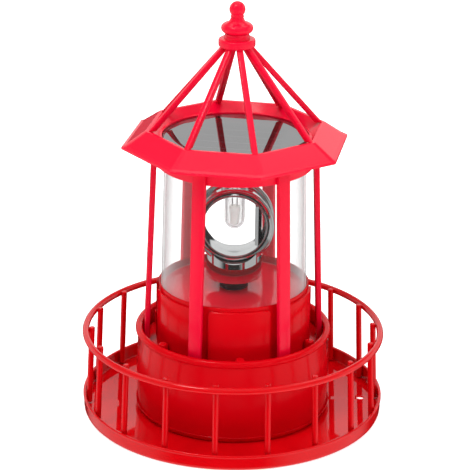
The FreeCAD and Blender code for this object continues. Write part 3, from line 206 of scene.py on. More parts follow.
@dataclass(frozen=True)
class Finish:
    """A surface finish with slight unevenness in colour, gloss and relief.

    Patches and grain are counted per metre.  The shade is the darker patches' share of the
    colour, uneven is the share by which the roughness goes up and down, and the grain's depth is
    in millimetres.
    """

    name: str
    colour: tuple[float, float, float]
    roughness: float = 0.35
    metallic: float = 0.0
    specular: float = 0.5
    coat: float = 0.0
    coat_roughness: float = 0.05
    shade: float = 0.9
    patch: float = 45.0
    grain: float = 1400.0
    grain_depth: float = 0.01
    uneven: float = 0.25

    def material(self) -> bpy.types.Material:
        """Builds the material.

        Returns:
            The finished material.
        """
        made = Wiring(self.name)
        shader = made.shader.inputs
        shader["Metallic"].default_value = self.metallic
        shader["Specular IOR Level"].default_value = self.specular
        shader["Coat Weight"].default_value = self.coat
        shader["Coat Roughness"].default_value = self.coat_roughness
        broad = made.noise(self.patch, 4.0)
        darker = tuple(c * self.shade for c in self.colour)
        made.link(made.blend(made.spread(broad, 0.0, 1.0), darker, self.colour), "Base Color")
        fine = made.noise(self.grain, 2.0)
        low, high = self.roughness * (1 - self.uneven), self.roughness * (1 + self.uneven)
        made.link(made.spread(broad, low, min(high, 1.0)), "Roughness")
        made.bump(fine, self.grain_depth)
        return made.material


@dataclass(frozen=True)
class ClearFinish:
    """Clear moulded plastic: hardly there face on, greyer towards its edges.

    Face and edge are how much of it shows there, and the power says how close to its edges the
    grey stays.  A faint glow stands for the light that such a wall carries along inside itself.
    """

    name: str
    colour: tuple[float, float, float] = (0.22, 0.23, 0.23)
    face: float = 0.012
    edge: float = 0.85
    power: float = 2.5
    roughness: float = 0.03
    glow: float = 0.3
    specular: float = 0.3
    index: float = 1.5

    def material(self) -> bpy.types.Material:
        """Builds the material.

        Returns:
            The finished material.
        """
        made = Wiring(self.name)
        set_glow(made.material, self.glow)
        shader = made.shader.inputs
        shader["Specular IOR Level"].default_value = self.specular
        shader["IOR"].default_value = self.index
        broad = made.noise(30.0)
        made.link(made.blend(broad, tuple(c * 0.96 for c in self.colour), self.colour),
                  "Base Color")
        made.link(made.spread(broad, self.roughness, self.roughness * 2.5), "Roughness")
        facing = made.node("ShaderNodeLayerWeight", Blend=0.5).outputs["Facing"]
        ramp = made.node("ShaderNodeMapRange", Value=made.maths("POWER", facing, self.power),
                         To_Min=self.face, To_Max=self.edge)
        made.link(ramp.outputs["Result"], "Alpha")
        return made.material


@dataclass(frozen=True)
class BrushedFinish:
    """Turned or drawn metal with fine lines along one direction.

    Lines are counted per metre along X, Y and Z, and their depth is in millimetres.
    """

    name: str
    colour: tuple[float, float, float]
    roughness: float = 0.3
    shade: float = 0.86
    lines: tuple[float, float, float] = (300.0, 300.0, 6000.0)
    line_depth: float = 0.004

    def material(self) -> bpy.types.Material:
        """Builds the material.

        Returns:
            The finished material.
        """
        made = Wiring(self.name)
        made.shader.inputs["Metallic"].default_value = 1.0
        scaled = made.node("ShaderNodeMapping", Vector=made.place, Scale=self.lines)
        streak = made.node("ShaderNodeTexNoise", Vector=scaled.outputs["Vector"], Scale=1.0,
                           Detail=2.0).outputs["Fac"]
        darker = tuple(c * self.shade for c in self.colour)
        made.link(made.blend(made.spread(streak, 0.0, 1.0), darker, self.colour), "Base Color")
        made.link(made.spread(streak, self.roughness * 0.8, self.roughness * 1.3), "Roughness")
        made.bump(streak, self.line_depth)
        return made.material


@dataclass(frozen=True)
class CellFinish:
    """Dark silicon with thin silver fingers and broader bars across them.

    Fingers and bars are counted per metre, and the share is how much of its room each fills.
    """

    name: str
    colour: tuple[float, float, float] = (0.012, 0.013, 0.022)
    silver: tuple[float, float, float] = (0.42, 0.43, 0.45)
    fingers: float = 900.0
    bars: float = 95.0
    share: float = 0.12
    roughness: float = 0.22
    coat: float = 0.6

    def stripes(self, made: Wiring, axis: str, count: float) -> bpy.types.NodeSocket:
        """Thin stripes across one axis.

        Args:
            made: The material being wired.
            axis: X or Y.
            count: Stripes per metre.

        Returns:
            A value that is 1 on the stripes.
        """
        along = made.node("ShaderNodeSeparateXYZ", Vector=made.place).outputs[axis]
        place = made.maths("FRACT", made.maths("MULTIPLY", along, count))
        return made.maths("LESS_THAN", place, self.share)

    def material(self) -> bpy.types.Material:
        """Builds the material.

        Returns:
            The finished material.
        """
        made = Wiring(self.name)
        made.shader.inputs["Roughness"].default_value = self.roughness
        made.shader.inputs["Coat Weight"].default_value = self.coat
        both = made.maths("MAXIMUM", self.stripes(made, "X", self.fingers),
                          self.stripes(made, "Y", self.bars))
        made.link(made.blend(both, self.colour, self.silver), "Base Color")
        return made.material


FINISHES: dict[Slot, Finish | ClearFinish | BrushedFinish | CellFinish] = {
    Slot.ENAMEL: Finish("red enamel", (0.6, 0.001, 0.004), roughness=0.035, specular=0.45,
                        shade=0.96, grain=260.0, grain_depth=0.004),
    Slot.PLASTIC: Finish("red moulded plastic", (0.79, 0.002, 0.03), roughness=0.18,
                         specular=0.3, shade=0.98, grain=500.0, grain_depth=0.002, uneven=0.1),
    Slot.GLOSS: Finish("red polished plastic", (0.62, 0.0005, 0.005), roughness=0.14, specular=0.13,
                       shade=0.97, grain=300.0, grain_depth=0.003),
    Slot.CLEAR: ClearFinish("clear plastic"),
    Slot.STEEL: BrushedFinish("brushed steel", (0.62, 0.62, 0.63)),
    Slot.BLACK: Finish("black plastic", (0.012, 0.012, 0.013), roughness=0.35),
    Slot.NYLON: Finish("white nylon", (0.82, 0.81, 0.77), roughness=0.5),
    Slot.BRASS: BrushedFinish("turned brass", (0.78, 0.58, 0.26)),
    Slot.SILICON: CellFinish("silicon cell"),
    Slot.FOAM: Finish("black foam", (0.02, 0.02, 0.02), roughness=0.9, grain=2500.0,
                      grain_depth=0.15),
    Slot.LAMP_CUP: Finish("lead frame", (0.88, 0.88, 0.86), roughness=0.25),
    Slot.BATTERY: Finish("battery wrap", (0.05, 0.24, 0.12), roughness=0.25, coat=0.3),
    Slot.BOARD: Finish("board lacquer", (0.015, 0.14, 0.05), roughness=0.3),
    Slot.BOARD_PARTS: Finish("board parts", (0.03, 0.03, 0.033), roughness=0.45),
    Slot.CHROME: Finish("bright chrome", (0.60, 0.61, 0.61), roughness=0.02, metallic=1.0,
                        shade=0.98, grain=120.0, grain_depth=0.0),
}
MADE: dict[str, bpy.types.Material] = {}


def finish_of(slot: Slot) -> bpy.types.Material:
    """The material of a slot, built once.

    Args:
        slot: The record's slot.

    Returns:
        Its material.
    """
    if slot.value not in MADE:
        MADE[slot.value] = FINISHES[slot].material()
    return MADE[slot.value]


# ------------------------------------------------------------------ shapes
def soften(corners: Iterable[Corner], steps: int = 5) -> list[Point]:
    """Rounds the corners of a closed outline.

    Args:
        corners: Points (r, z) or (r, z, radius) in order.
        steps: Points on each rounded corner.

    Returns:
        The outline's points.
    """
    given = list(corners)
    result: list[Point] = []
    for index, corner in enumerate(given):
        here = Vector(corner[:2])
        if len(corner) < 3 or corner[2] <= 0:
            result.append((here.x, here.y))
            continue
        before = Vector(given[index - 1][:2]) - here
        after = Vector(given[(index + 1) % len(given)][:2]) - here
        half = before.angle(after) / 2
        reach = min(corner[2] / math.tan(half), before.length * 0.49, after.length * 0.49)
        first = here + before.normalized() * reach
        last = here + after.normalized() * reach
        for step in range(steps + 1):
            t = step / steps
            spot = first * (1 - t) ** 2 + here * 2 * t * (1 - t) + last * t ** 2
            result.append((spot.x, spot.y))
    return result


def arc(centre: Point, radius: float, start: float, end: float, steps: int) -> list[Point]:
    """Points on a circle.

    Args:
        centre: The circle's centre.
        radius: Its radius.
        start: First angle in degrees from the r axis.
        end: Last angle in degrees.
        steps: Number of spans.

    Returns:
        The points in order.
    """
    points = []
    for step in range(steps + 1):
        angle = math.radians(start + (end - start) * step / steps)
        points.append((centre[0] + radius * math.cos(angle), centre[1] + radius * math.sin(angle)))
    return points


def finish_mesh(mesh: bpy.types.Mesh, work: bmesh.types.BMesh, sharp: float) -> bpy.types.Mesh:
    """Cleans a work mesh, writes it and shades it smooth up to an angle.

    Args:
        mesh: The mesh to fill.
        work: The work mesh, freed here.
        sharp: Edges over this angle in degrees stay sharp.

    Returns:
        The filled mesh.
    """
    bmesh.ops.remove_doubles(work, verts=work.verts, dist=TOUCHING)
    bmesh.ops.recalc_face_normals(work, faces=work.faces)
    work.to_mesh(mesh)
    work.free()
    mesh.shade_smooth()
    mesh.set_sharp_from_angle(angle=math.radians(sharp))
    return mesh


def moved(mesh: bpy.types.Mesh, x: float = 0.0, y: float = 0.0, z: float = 0.0) -> bpy.types.Mesh:
    """Moves a mesh by millimetres and gives it back."""
    mesh.transform(Matrix.Translation((x * MM, y * MM, z * MM)))
    return mesh


def skinned(name: str, rings: Sequence[Sequence[Vector]], sharp: float,
            bevel: float = 0.0) -> bpy.types.Mesh:
    """A closed shape over a row of like rings.

    Args:
        name: The mesh's name.
        rings: The rings' places in order, in millimetres.
        sharp: Edges over this angle stay sharp.
        bevel: Radius of its edges.

    Returns:
        The mesh, in metres.
    """
    work = bmesh.new()
    rows = [[work.verts.new(spot * MM) for spot in ring] for ring in rings]
    for row, following in zip(rows, rows[1:]):
        for step in range(len(row)):
            after = (step + 1) % len(row)
            work.faces.new((row[step], row[after], following[after], following[step]))
    work.faces.new(rows[0][::-1])
    work.faces.new(rows[-1])
    if bevel:
        bmesh.ops.recalc_face_normals(work, faces=work.faces)
        bmesh.ops.bevel(work, geom=list(work.edges), offset=bevel * MM, segments=3, profile=0.5,
                        affect="EDGES")
    return finish_mesh(bpy.data.meshes.new(name), work, sharp)


def octagon_radius(corner_r: float, angle: float) -> float:
    """Radius in a direction of an octagon whose flats face the axes."""
    off = (angle + 22.5) % 45.0 - 22.5
    return corner_r * math.cos(math.radians(22.5)) / math.cos(math.radians(off))


def turned(name: str, outline: Sequence[Point], segments: int = SEGMENTS, sharp: float = 32.0,
           eight: Callable[[Point], bool] | None = None) -> bpy.types.Mesh:
    """A closed outline turned about the Z axis.

    Args:
        name: The mesh's name.
        outline: Closed outline of (radius, height).
        segments: Steps round the axis.
        sharp: Edges over this angle stay sharp.
        eight: Says which outline points run round an octagon.

    Returns:
        The mesh, in metres.
    """
    work = bmesh.new()
    rings = []
    for point in outline:
        radius, height = point
        if radius < ON_AXIS:
            rings.append([work.verts.new((0, 0, height * MM))] * segments)
            continue
        ring = []
        for step in range(segments):
            angle = 360.0 * step / segments
            reach = octagon_radius(radius, angle) if eight and eight(point) else radius
            turn = math.radians(angle)
            spot = (reach * math.cos(turn) * MM, reach * math.sin(turn) * MM, height * MM)
            ring.append(work.verts.new(spot))
        rings.append(ring)
    for index, ring in enumerate(rings):
        above = rings[(index + 1) % len(rings)]
        for step in range(segments):
            following = (step + 1) % segments
            corners = []
            for vert in (ring[step], ring[following], above[following], above[step]):
                if vert not in corners:
                    corners.append(vert)
            if len(corners) > 2:
                work.faces.new(corners)
    return finish_mesh(bpy.data.meshes.new(name), work, sharp)


def bar(name: str, foot: Point, head: Point, width: float, depth: float, direction: float,
        bevel: float) -> bpy.types.Mesh:
    """A straight bar between two level rectangles, its edges rounded.

    Args:
        name: The mesh's name.
        foot: Outer radius and height of its lower end.
        head: Outer radius and height of its upper end.
        width: Size across.
        depth: Size along the radius.
        direction: Degrees from the front towards +X.
        bevel: Radius of its edges.

    Returns:
        The mesh, in metres.
    """
    turn = math.radians(direction)
    out = Vector((math.sin(turn), -math.cos(turn), 0))
    across = Vector((math.cos(turn), math.sin(turn), 0))
    rings = []
    for radius, height in (foot, head):
        middle = out * radius + Vector((0, 0, height))
        rings.append([middle - out * near + across * (side * width / 2)
                      for near, side in ((0, 1), (0, -1), (depth, -1), (depth, 1))])
    return skinned(name, rings, 40.0, bevel)


def joined(name: str, meshes: Iterable[bpy.types.Mesh], sharp: float = 32.0) -> bpy.types.Mesh:
    """Several closed meshes as one.

    Args:
        name: The new mesh's name.
        meshes: The meshes to gather; they are removed.
        sharp: Edges over this angle stay sharp.

    Returns:
        The gathered mesh.
    """
    work = bmesh.new()
    for mesh in meshes:
        work.from_mesh(mesh)
        bpy.data.meshes.remove(mesh)
    made = bpy.data.meshes.new(name)
    work.to_mesh(made)
    work.free()
    made.shade_smooth()
    made.set_sharp_from_angle(angle=math.radians(sharp))
    return made


def cut(mesh: bpy.types.Mesh, tools: Iterable[bpy.types.Mesh],
        sharp: float = 32.0) -> bpy.types.Mesh:
    """Takes tool shapes out of a mesh.

    Args:
        mesh: The mesh to cut.
        tools: Closed meshes to take out; they are removed.
        sharp: Edges over this angle stay sharp.

    Returns:
        The cut mesh.
    """
    holder = bpy.data.objects.new("cutting", mesh)
    bpy.context.collection.objects.link(holder)
    helpers = []
    for tool in tools:
        helper = bpy.data.objects.new("cutter", tool)
        bpy.context.collection.objects.link(helper)
        step = holder.modifiers.new("cut", "BOOLEAN")
        step.object = helper
        step.operation = "DIFFERENCE"
        step.solver = "EXACT"
        helpers.append(helper)
    depsgraph = bpy.context.evaluated_depsgraph_get()
    result = bpy.data.meshes.new_from_object(holder.evaluated_get(depsgraph))
    result.name = mesh.name
    for thing in (holder, *helpers):
        data = thing.data
        bpy.data.objects.remove(thing)
        bpy.data.meshes.remove(data)
    work = bmesh.new()
    work.from_mesh(result)
    return finish_mesh(result, work, sharp)


def rod(name: str, radius: float, low: float, high: float,
        segments: int = 48) -> bpy.types.Mesh:
    """A plain upright cylinder, used to cut holes."""
    return turned(name, [(0, low), (radius, low), (radius, high), (0, high)], segments)


def polar(radius: float, direction: float) -> Point:
    """The x and y of a place by its radius and direction from the front."""
    turn = math.radians(direction)
    return radius * math.sin(turn), -radius * math.cos(turn)


class AroundAxis:
    """A Geometry Nodes tree that repeats a shape evenly about the upright axis."""

    def __init__(self) -> None:
        """Builds the tree with its named inputs."""
        self.tree = bpy.data.node_groups.new("around the axis", "GeometryNodeTree")
        self.sockets: dict[str, str] = {}
        for name, kind in (("Shape", "NodeSocketObject"), ("Count", "NodeSocketInt"),
                           ("Finish", "NodeSocketMaterial")):
            item = self.tree.interface.new_socket(name, in_out="INPUT", socket_type=kind)
            self.sockets[name] = item.identifier
        self.tree.interface.new_socket("Geometry", in_out="OUTPUT",
                                       socket_type="NodeSocketGeometry")
        self.wire()

    def wire(self) -> None:
        """Adds and joins the nodes."""
        nodes, links = self.tree.nodes, self.tree.links
        given = nodes.new("NodeGroupInput")
        result = nodes.new("NodeGroupOutput")
        points = nodes.new("GeometryNodePoints")
        shape = nodes.new("GeometryNodeObjectInfo")
        copies = nodes.new("GeometryNodeInstanceOnPoints")
        index = nodes.new("GeometryNodeInputIndex")
        share = nodes.new("ShaderNodeMath")
        share.operation = "DIVIDE"
        angle = nodes.new("ShaderNodeMath")
        angle.operation = "MULTIPLY"
        angle.inputs[1].default_value = 2 * math.pi
        turn = nodes.new("ShaderNodeCombineXYZ")
        real = nodes.new("GeometryNodeRealizeInstances")
        dress = nodes.new("GeometryNodeSetMaterial")
        for source, output, target, entry in (
                (given, "Shape", shape, "Object"), (given, "Count", points, "Count"),
                (index, "Index", share, 0), (given, "Count", share, 1),
                (share, 0, angle, 0), (angle, 0, turn, "Z"),
                (points, "Points", copies, "Points"), (shape, "Geometry", copies, "Instance"),
                (turn, "Vector", copies, "Rotation"), (copies, "Instances", real, "Geometry"),
                (real, "Geometry", dress, "Geometry"), (given, "Finish", dress, "Material"),
                (dress, "Geometry", result, "Geometry")):
            links.new(source.outputs[output], target.inputs[entry])

    def repeat(self, shape: bpy.types.Mesh, count: int, slot: Slot) -> bpy.types.Mesh:
        """Repeats a mesh about the axis.

        Args:
            shape: The mesh at its first place; it is removed.
            count: How many there are.
            slot: The finish of all of them.

        Returns:
            One mesh with all the copies.
        """
        source = bpy.data.objects.new("shape", shape)
        holder = bpy.data.objects.new("holder", bpy.data.meshes.new("holder"))
        for thing in (source, holder):
            bpy.context.collection.objects.link(thing)
        step = holder.modifiers.new("around", "NODES")
        step.node_group = self.tree
        step[self.sockets["Shape"]] = source
        step[self.sockets["Count"]] = count
        step[self.sockets["Finish"]] = finish_of(slot)
        depsgraph = bpy.context.evaluated_depsgraph_get()
        result = bpy.data.meshes.new_from_object(holder.evaluated_get(depsgraph))
        holder.modifiers.clear()
        empty = holder.data
        bpy.data.objects.remove(holder)
        bpy.data.objects.remove(source)
        bpy.data.meshes.remove(empty)
        bpy.data.meshes.remove(shape)
        return result


def piece(name: str, mesh: bpy.types.Mesh, slot: Slot, body: str, *nodes: str,
          material: bpy.types.Material | None = None) -> None:
    """Puts a finished mesh into the scene.

    Args:
        name: The piece's name.
        mesh: Its mesh, in place.
        slot: The record's slot it takes its finish from.
        body: The body it moves with.
        nodes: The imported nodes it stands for.
        material: A finish of its own, if the slot's doesn't do.
    """
    made = bpy.data.objects.new(name, mesh)
    bpy.context.collection.objects.link(made)
    mesh.materials.clear()
    mesh.materials.append(material or finish_of(slot))
    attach(made, body)
    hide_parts(*nodes)
    LOG.info("piece %s: %d faces", name, len(mesh.polygons))


# ------------------------------------------------------------------ base
@dataclass
class Base:
    """Tray, wire rail, lower cup and drum."""

    around: AroundAxis
    sheet: float = 1.2
    tray_r: float = 82.6
    rim_top: float = 8.8
    rim_curl: float = 0.45
    rim_step: float = 0.6
    hole_r: float = 2.35
    hole_circle: float = 72.0
    hole_turn: float = 105.0
    sink_r: float = 3.08
    sink_top_r: float = 1.55
    sink_top: float = 1.35
    sink_circle: float = 46.9
    sink_turn: float = 45.0
    rail_r: float = 82.5
    rail_z: float = 45.2
    wire_r: float = 1.8
    post_r: float = 1.6
    post_gap: float = 0.05
    post_low: float = 2.25
    post_count: int = 18
    post_turn: float = 3.8
    cup_foot_r: float = 54.2
    cup_foot_z: float = 5.6
    cup_wall: float = 2.2
    lip_r: float = 51.5
    lip_z: float = 46.5
    lip_wire: float = 2.0
    recess_z: float = 37.8
    recess_low: float = 35.8
    opening_r: float = 38.4
    flange_r: float = 49.0
    flange_top: float = 39.6
    drum_r: float = 40.8
    drum_inner: float = 39.0
    drum_top: float = 74.1
    cap_low: float = 67.1
    cap_top: float = 69.3
    cap_hole_r: float = 4.0
    side_count: int = 6
    panel_r: float = 42.4
    panel_top: float = 72.0
    panel_half: float = 17.3
    panel_corner: float = 2.0
    panel_edge: float = 0.35
    panel_soft: float = 0.12
    panel_draft: float = 0.2
    panel_turn: float = 15.0
    peg_r: float = 2.6
    peg_pin_r: float = 1.5
    peg_low: float = 35.9
    peg_top: float = 47.2
    peg_circle: float = 45.6
    floor_r: float = 39.65
    floor_hole_r: float = 5.75
    floor_top: float = 70.3

    def tray(self) -> None:
        """The pressed pan with its fixing holes."""
        wall = self.tray_r - self.rim_curl
        top, curl, step_in = self.rim_top, self.rim_curl, self.rim_step
        outline = soften([
            (0, 0), (wall, 0, 2.2), (wall, top - 2 * curl - step_in, 0.4),
            (self.tray_r, top - curl - step_in, 0.4), (self.tray_r, top, 0.55),
            (wall - self.sheet, top, 0.7), (wall - self.sheet, self.sheet, 1.1), (0, self.sheet),
        ])
        sink = [(0, -0.1), (self.sink_r, -0.1), (self.sink_top_r, self.sink_top),
                (0, self.sink_top)]
        holes = []
        for step in range(3):
            hole = rod(f"hole_{step}", self.hole_r, -1, 3)
            holes.append(moved(hole, *polar(self.hole_circle, self.hole_turn + 120.0 * step)))
        for step in range(3):
            hole = turned(f"sink_{step}", sink, 32)
            holes.append(moved(hole, *polar(self.sink_circle, self.sink_turn + 120.0 * step)))
        piece("tray_pan", cut(turned("tray_pan", outline, 192), holes), Slot.ENAMEL, "base",
              "tray")

    def rail(self) -> None:
        """The wire ring and its leaning posts."""
        ring = arc((self.rail_r - self.wire_r, self.rail_z), self.wire_r, 0, 345, 23)
        piece("rail_wire", turned("rail_wire", ring, 216), Slot.ENAMEL, "base", "rail_ring")
        foot_r = self.tray_r - self.rim_curl - self.sheet - self.post_r - self.post_gap
        head_r = self.rail_r - 2 * self.wire_r - self.post_r - self.post_gap
        height = self.rail_z + self.wire_r - self.post_low
        post = turned("post", soften([(0, 0), (self.post_r, 0), (self.post_r, height, 1.2),
                                      (0, height)]), 28)
        lean = Matrix.Identity(4)
        lean[1][2] = (foot_r - head_r) / height
        post.transform(lean)
        moved(post, 0, -foot_r, self.post_low)
        post.transform(Matrix.Rotation(math.radians(self.post_turn), 4, "Z"))
        piece("rail_uprights", self.around.repeat(post, self.post_count, Slot.ENAMEL),
              Slot.ENAMEL, "base", "rail_posts")

    def cup(self) -> None:
        """The lower cup with its rolled lip."""
        lip_low = self.lip_z - self.lip_wire * 0.9
        inner = self.lip_r - self.lip_wire
        foot_r, foot_z, wall = self.cup_foot_r, self.cup_foot_z, self.cup_wall
        outline = [
            *soften([(49.4, self.sheet), (foot_r - 2.4, self.sheet, 1.6),
                     (foot_r, foot_z, 4.0)])[1:],
            (53.15, 24.0),
            (52.1, lip_low - 0.6), (52.25, lip_low - 0.1),
            *arc((self.lip_r, self.lip_z), self.lip_wire, -48, 178, 16),
            (inner, 44.0), (inner + 0.3, self.recess_z + 0.5), (inner - 0.2, self.recess_z),
            (self.opening_r, self.recess_z), (self.opening_r, self.recess_low),
            (52.0 - wall, self.recess_low), (foot_r - wall, foot_z), (49.6, self.sheet),
        ]
        piece("cup_shell", turned("cup_shell", outline), Slot.GLOSS, "base", "base_cup")

    def raised_panel(self) -> bpy.types.Mesh:
        """One raised panel of the drum, between two posts, with rounded upper corners.

        Returns:
            The mesh at its place, in metres.
        """
        low, inner, outer, half = self.flange_top, self.drum_r - 0.6, self.panel_r, self.panel_half
        corner, edge, draft = self.panel_corner, self.panel_edge, self.panel_draft
        sides = [half, half - self.panel_soft, half - 0.3 * corner, half - 0.6 * corner,
                 half - corner]
        across = [-s for s in sides] + [half * k / 9 for k in range(-7, 8)] + sides[::-1]
        rings = []
        for index, place in enumerate(across):
            past = max(abs(place) - (half - corner), 0.0)
            upper = self.panel_top - corner + math.sqrt(max(corner ** 2 - past ** 2, 0.0))
            lead = edge if index in (0, len(across) - 1) else 0.0
            profile = [(inner, low), (outer - lead, low),
                       (outer - draft - lead, upper - edge - lead),
                       (outer - 0.3 - edge * 0.4 - lead, upper - edge * 0.35),
                       (outer - draft - edge - lead, upper), (inner, upper)]
            turn = math.degrees(place / outer) + self.panel_turn
            rings.append([Vector((*polar(radius, turn), height)) for radius, height in profile])
        return skinned("panel", rings, 34.0)

    def drum(self) -> None:
        """The inner drum: flange, wall, rim, cap and six raised panels."""
        outline = soften([
            (self.cap_hole_r, self.cap_low), (self.drum_inner, self.cap_low),
            (self.drum_inner, self.recess_z), (self.flange_r, self.recess_z),
            (self.flange_r, self.flange_top, 0.5), (self.drum_r, self.flange_top, 0.5),
            (self.drum_r, self.drum_top, 0.45), (39.82, self.drum_top, 0.3), (39.8, self.cap_top),
            (self.cap_hole_r, self.cap_top),
        ])
        panels = self.around.repeat(self.raised_panel(), self.side_count, Slot.GLOSS)
        whole = joined("drum_shell", [turned("drum", outline), panels])
        piece("drum_shell", whole, Slot.GLOSS, "base", "motor_housing")

    def pegs(self) -> None:
        """Six round-headed pegs on the drum's flange."""
        peg = turned("peg", soften([
            (0, self.peg_low), (self.peg_pin_r, self.peg_low), (self.peg_pin_r, self.flange_top),
            (self.peg_r, self.flange_top), (self.peg_r, self.peg_top, 1.1), (0, self.peg_top),
        ]), 28)
        moved(peg, *polar(self.peg_circle, self.panel_turn))
        piece("drum_pegs", self.around.repeat(peg, self.side_count, Slot.GLOSS), Slot.GLOSS,
              "base", "locating_pegs")

    def room_floor(self) -> None:
        """The disc under the beacon, in a red lighter than the red gloss plastic: painted light
        inside the lantern.
        """
        inner, outer, top = self.floor_hole_r, self.floor_r, self.floor_top
        disc = soften([(inner, self.cap_top), (outer, self.cap_top), (outer, top, 0.2),
                       (inner, top, 0.2)])
        # Painted light: a lighter copy of the red gloss plastic stands in for light falling into
        # the lantern.
        painted_lit_gloss = Finish("room floor", (0.94, 0.002, 0.03), roughness=0.1, specular=0.4,
                        shade=0.95, patch=90.0, grain_depth=0.0).material()
        piece("room_floor", turned("room_floor", disc), Slot.GLOSS, "base", "lantern_floor",
              material=painted_lit_gloss)

    def build(self) -> None:
        """Makes the whole base."""
        self.tray()
        self.rail()
        self.cup()
        self.drum()
        self.pegs()
        self.room_floor()


# ------------------------------------------------------------------ lantern
@dataclass
class Lantern:
    """Clear tube and the frame round it."""

    around: AroundAxis
    foot_r: float = 39.5
    head_r: float = 38.0
    wall: float = 1.2
    low: float = 70.3
    top: float = 142.5
    skirt_low: float = 142.0
    skirt_r: float = 42.1
    skirt_wall: float = 2.0
    skirt_draft: float = 0.45
    plate_r: float = 57.35
    plate_z: float = 152.4
    plate_top: float = 154.0
    post_foot: Point = (49.0, 39.6)
    post_head_r: float = 44.5
    post_width: float = 7.2
    post_depth: float = 2.9
    post_turn: float = 45.0
    post_count: int = 6
    slot_size: tuple[float, float, float] = (7.4, 2.4, 6.0)
    slot_place: tuple[float, float, float] = (0.0, 46.63, 153.2)

    def tube(self) -> None:
        """The clear drafted tube."""
        outline = soften([
            (self.foot_r - self.wall, self.low), (self.foot_r, self.low, 0.3),
            (self.head_r, self.top, 0.3), (self.head_r - self.wall, self.top),
        ], 2)
        piece("clear_tube", turned("clear_tube", outline), Slot.CLEAR, "base", "lantern_glass")

    def cage(self) -> None:
        """Octagonal plate, round skirt and six leaning posts."""
        inner = self.skirt_r - self.skirt_wall

        def on_octagon(point: Point) -> bool:
            """Tells the plate's outer rim from its round hole."""
            return point[0] > self.skirt_r

        plate = turned("plate", soften([(inner, self.plate_z), (self.plate_r, self.plate_z),
                                        (self.plate_r, self.plate_top), (inner, self.plate_top)]),
                       eight=on_octagon)
        overlap = self.plate_z + 0.1
        skirt = turned("skirt", soften([
            (inner, self.skirt_low), (self.skirt_r, self.skirt_low, 0.5),
            (self.skirt_r + self.skirt_draft, overlap), (inner, overlap),
        ]))
        mesh = cut(plate, [self.slot_shape()])
        post = bar("post", self.post_foot, (self.post_head_r, self.plate_z), self.post_width,
                   self.post_depth, self.post_turn, 0.55)
        posts = self.around.repeat(post, self.post_count, Slot.PLASTIC)
        whole = joined("lantern_cage", [mesh, skirt, posts])
        piece("lantern_cage", whole, Slot.PLASTIC, "base", "lantern_frame")

    def slot_shape(self) -> bpy.types.Mesh:
        """The slot that the switch's knob reaches through.

        Returns:
            The block to cut out, in metres.
        """
        work = bmesh.new()
        bmesh.ops.create_cube(work, size=1.0)
        place = Matrix.Translation(Vector(self.slot_place) * MM)
        work.transform(place @ Matrix.Diagonal((*(Vector(self.slot_size) * MM), 1)))
        return finish_mesh(bpy.data.meshes.new("slot"), work, 30)

    def build(self) -> None:
        """Makes the tube and its frame."""
        self.tube()
        self.cage()


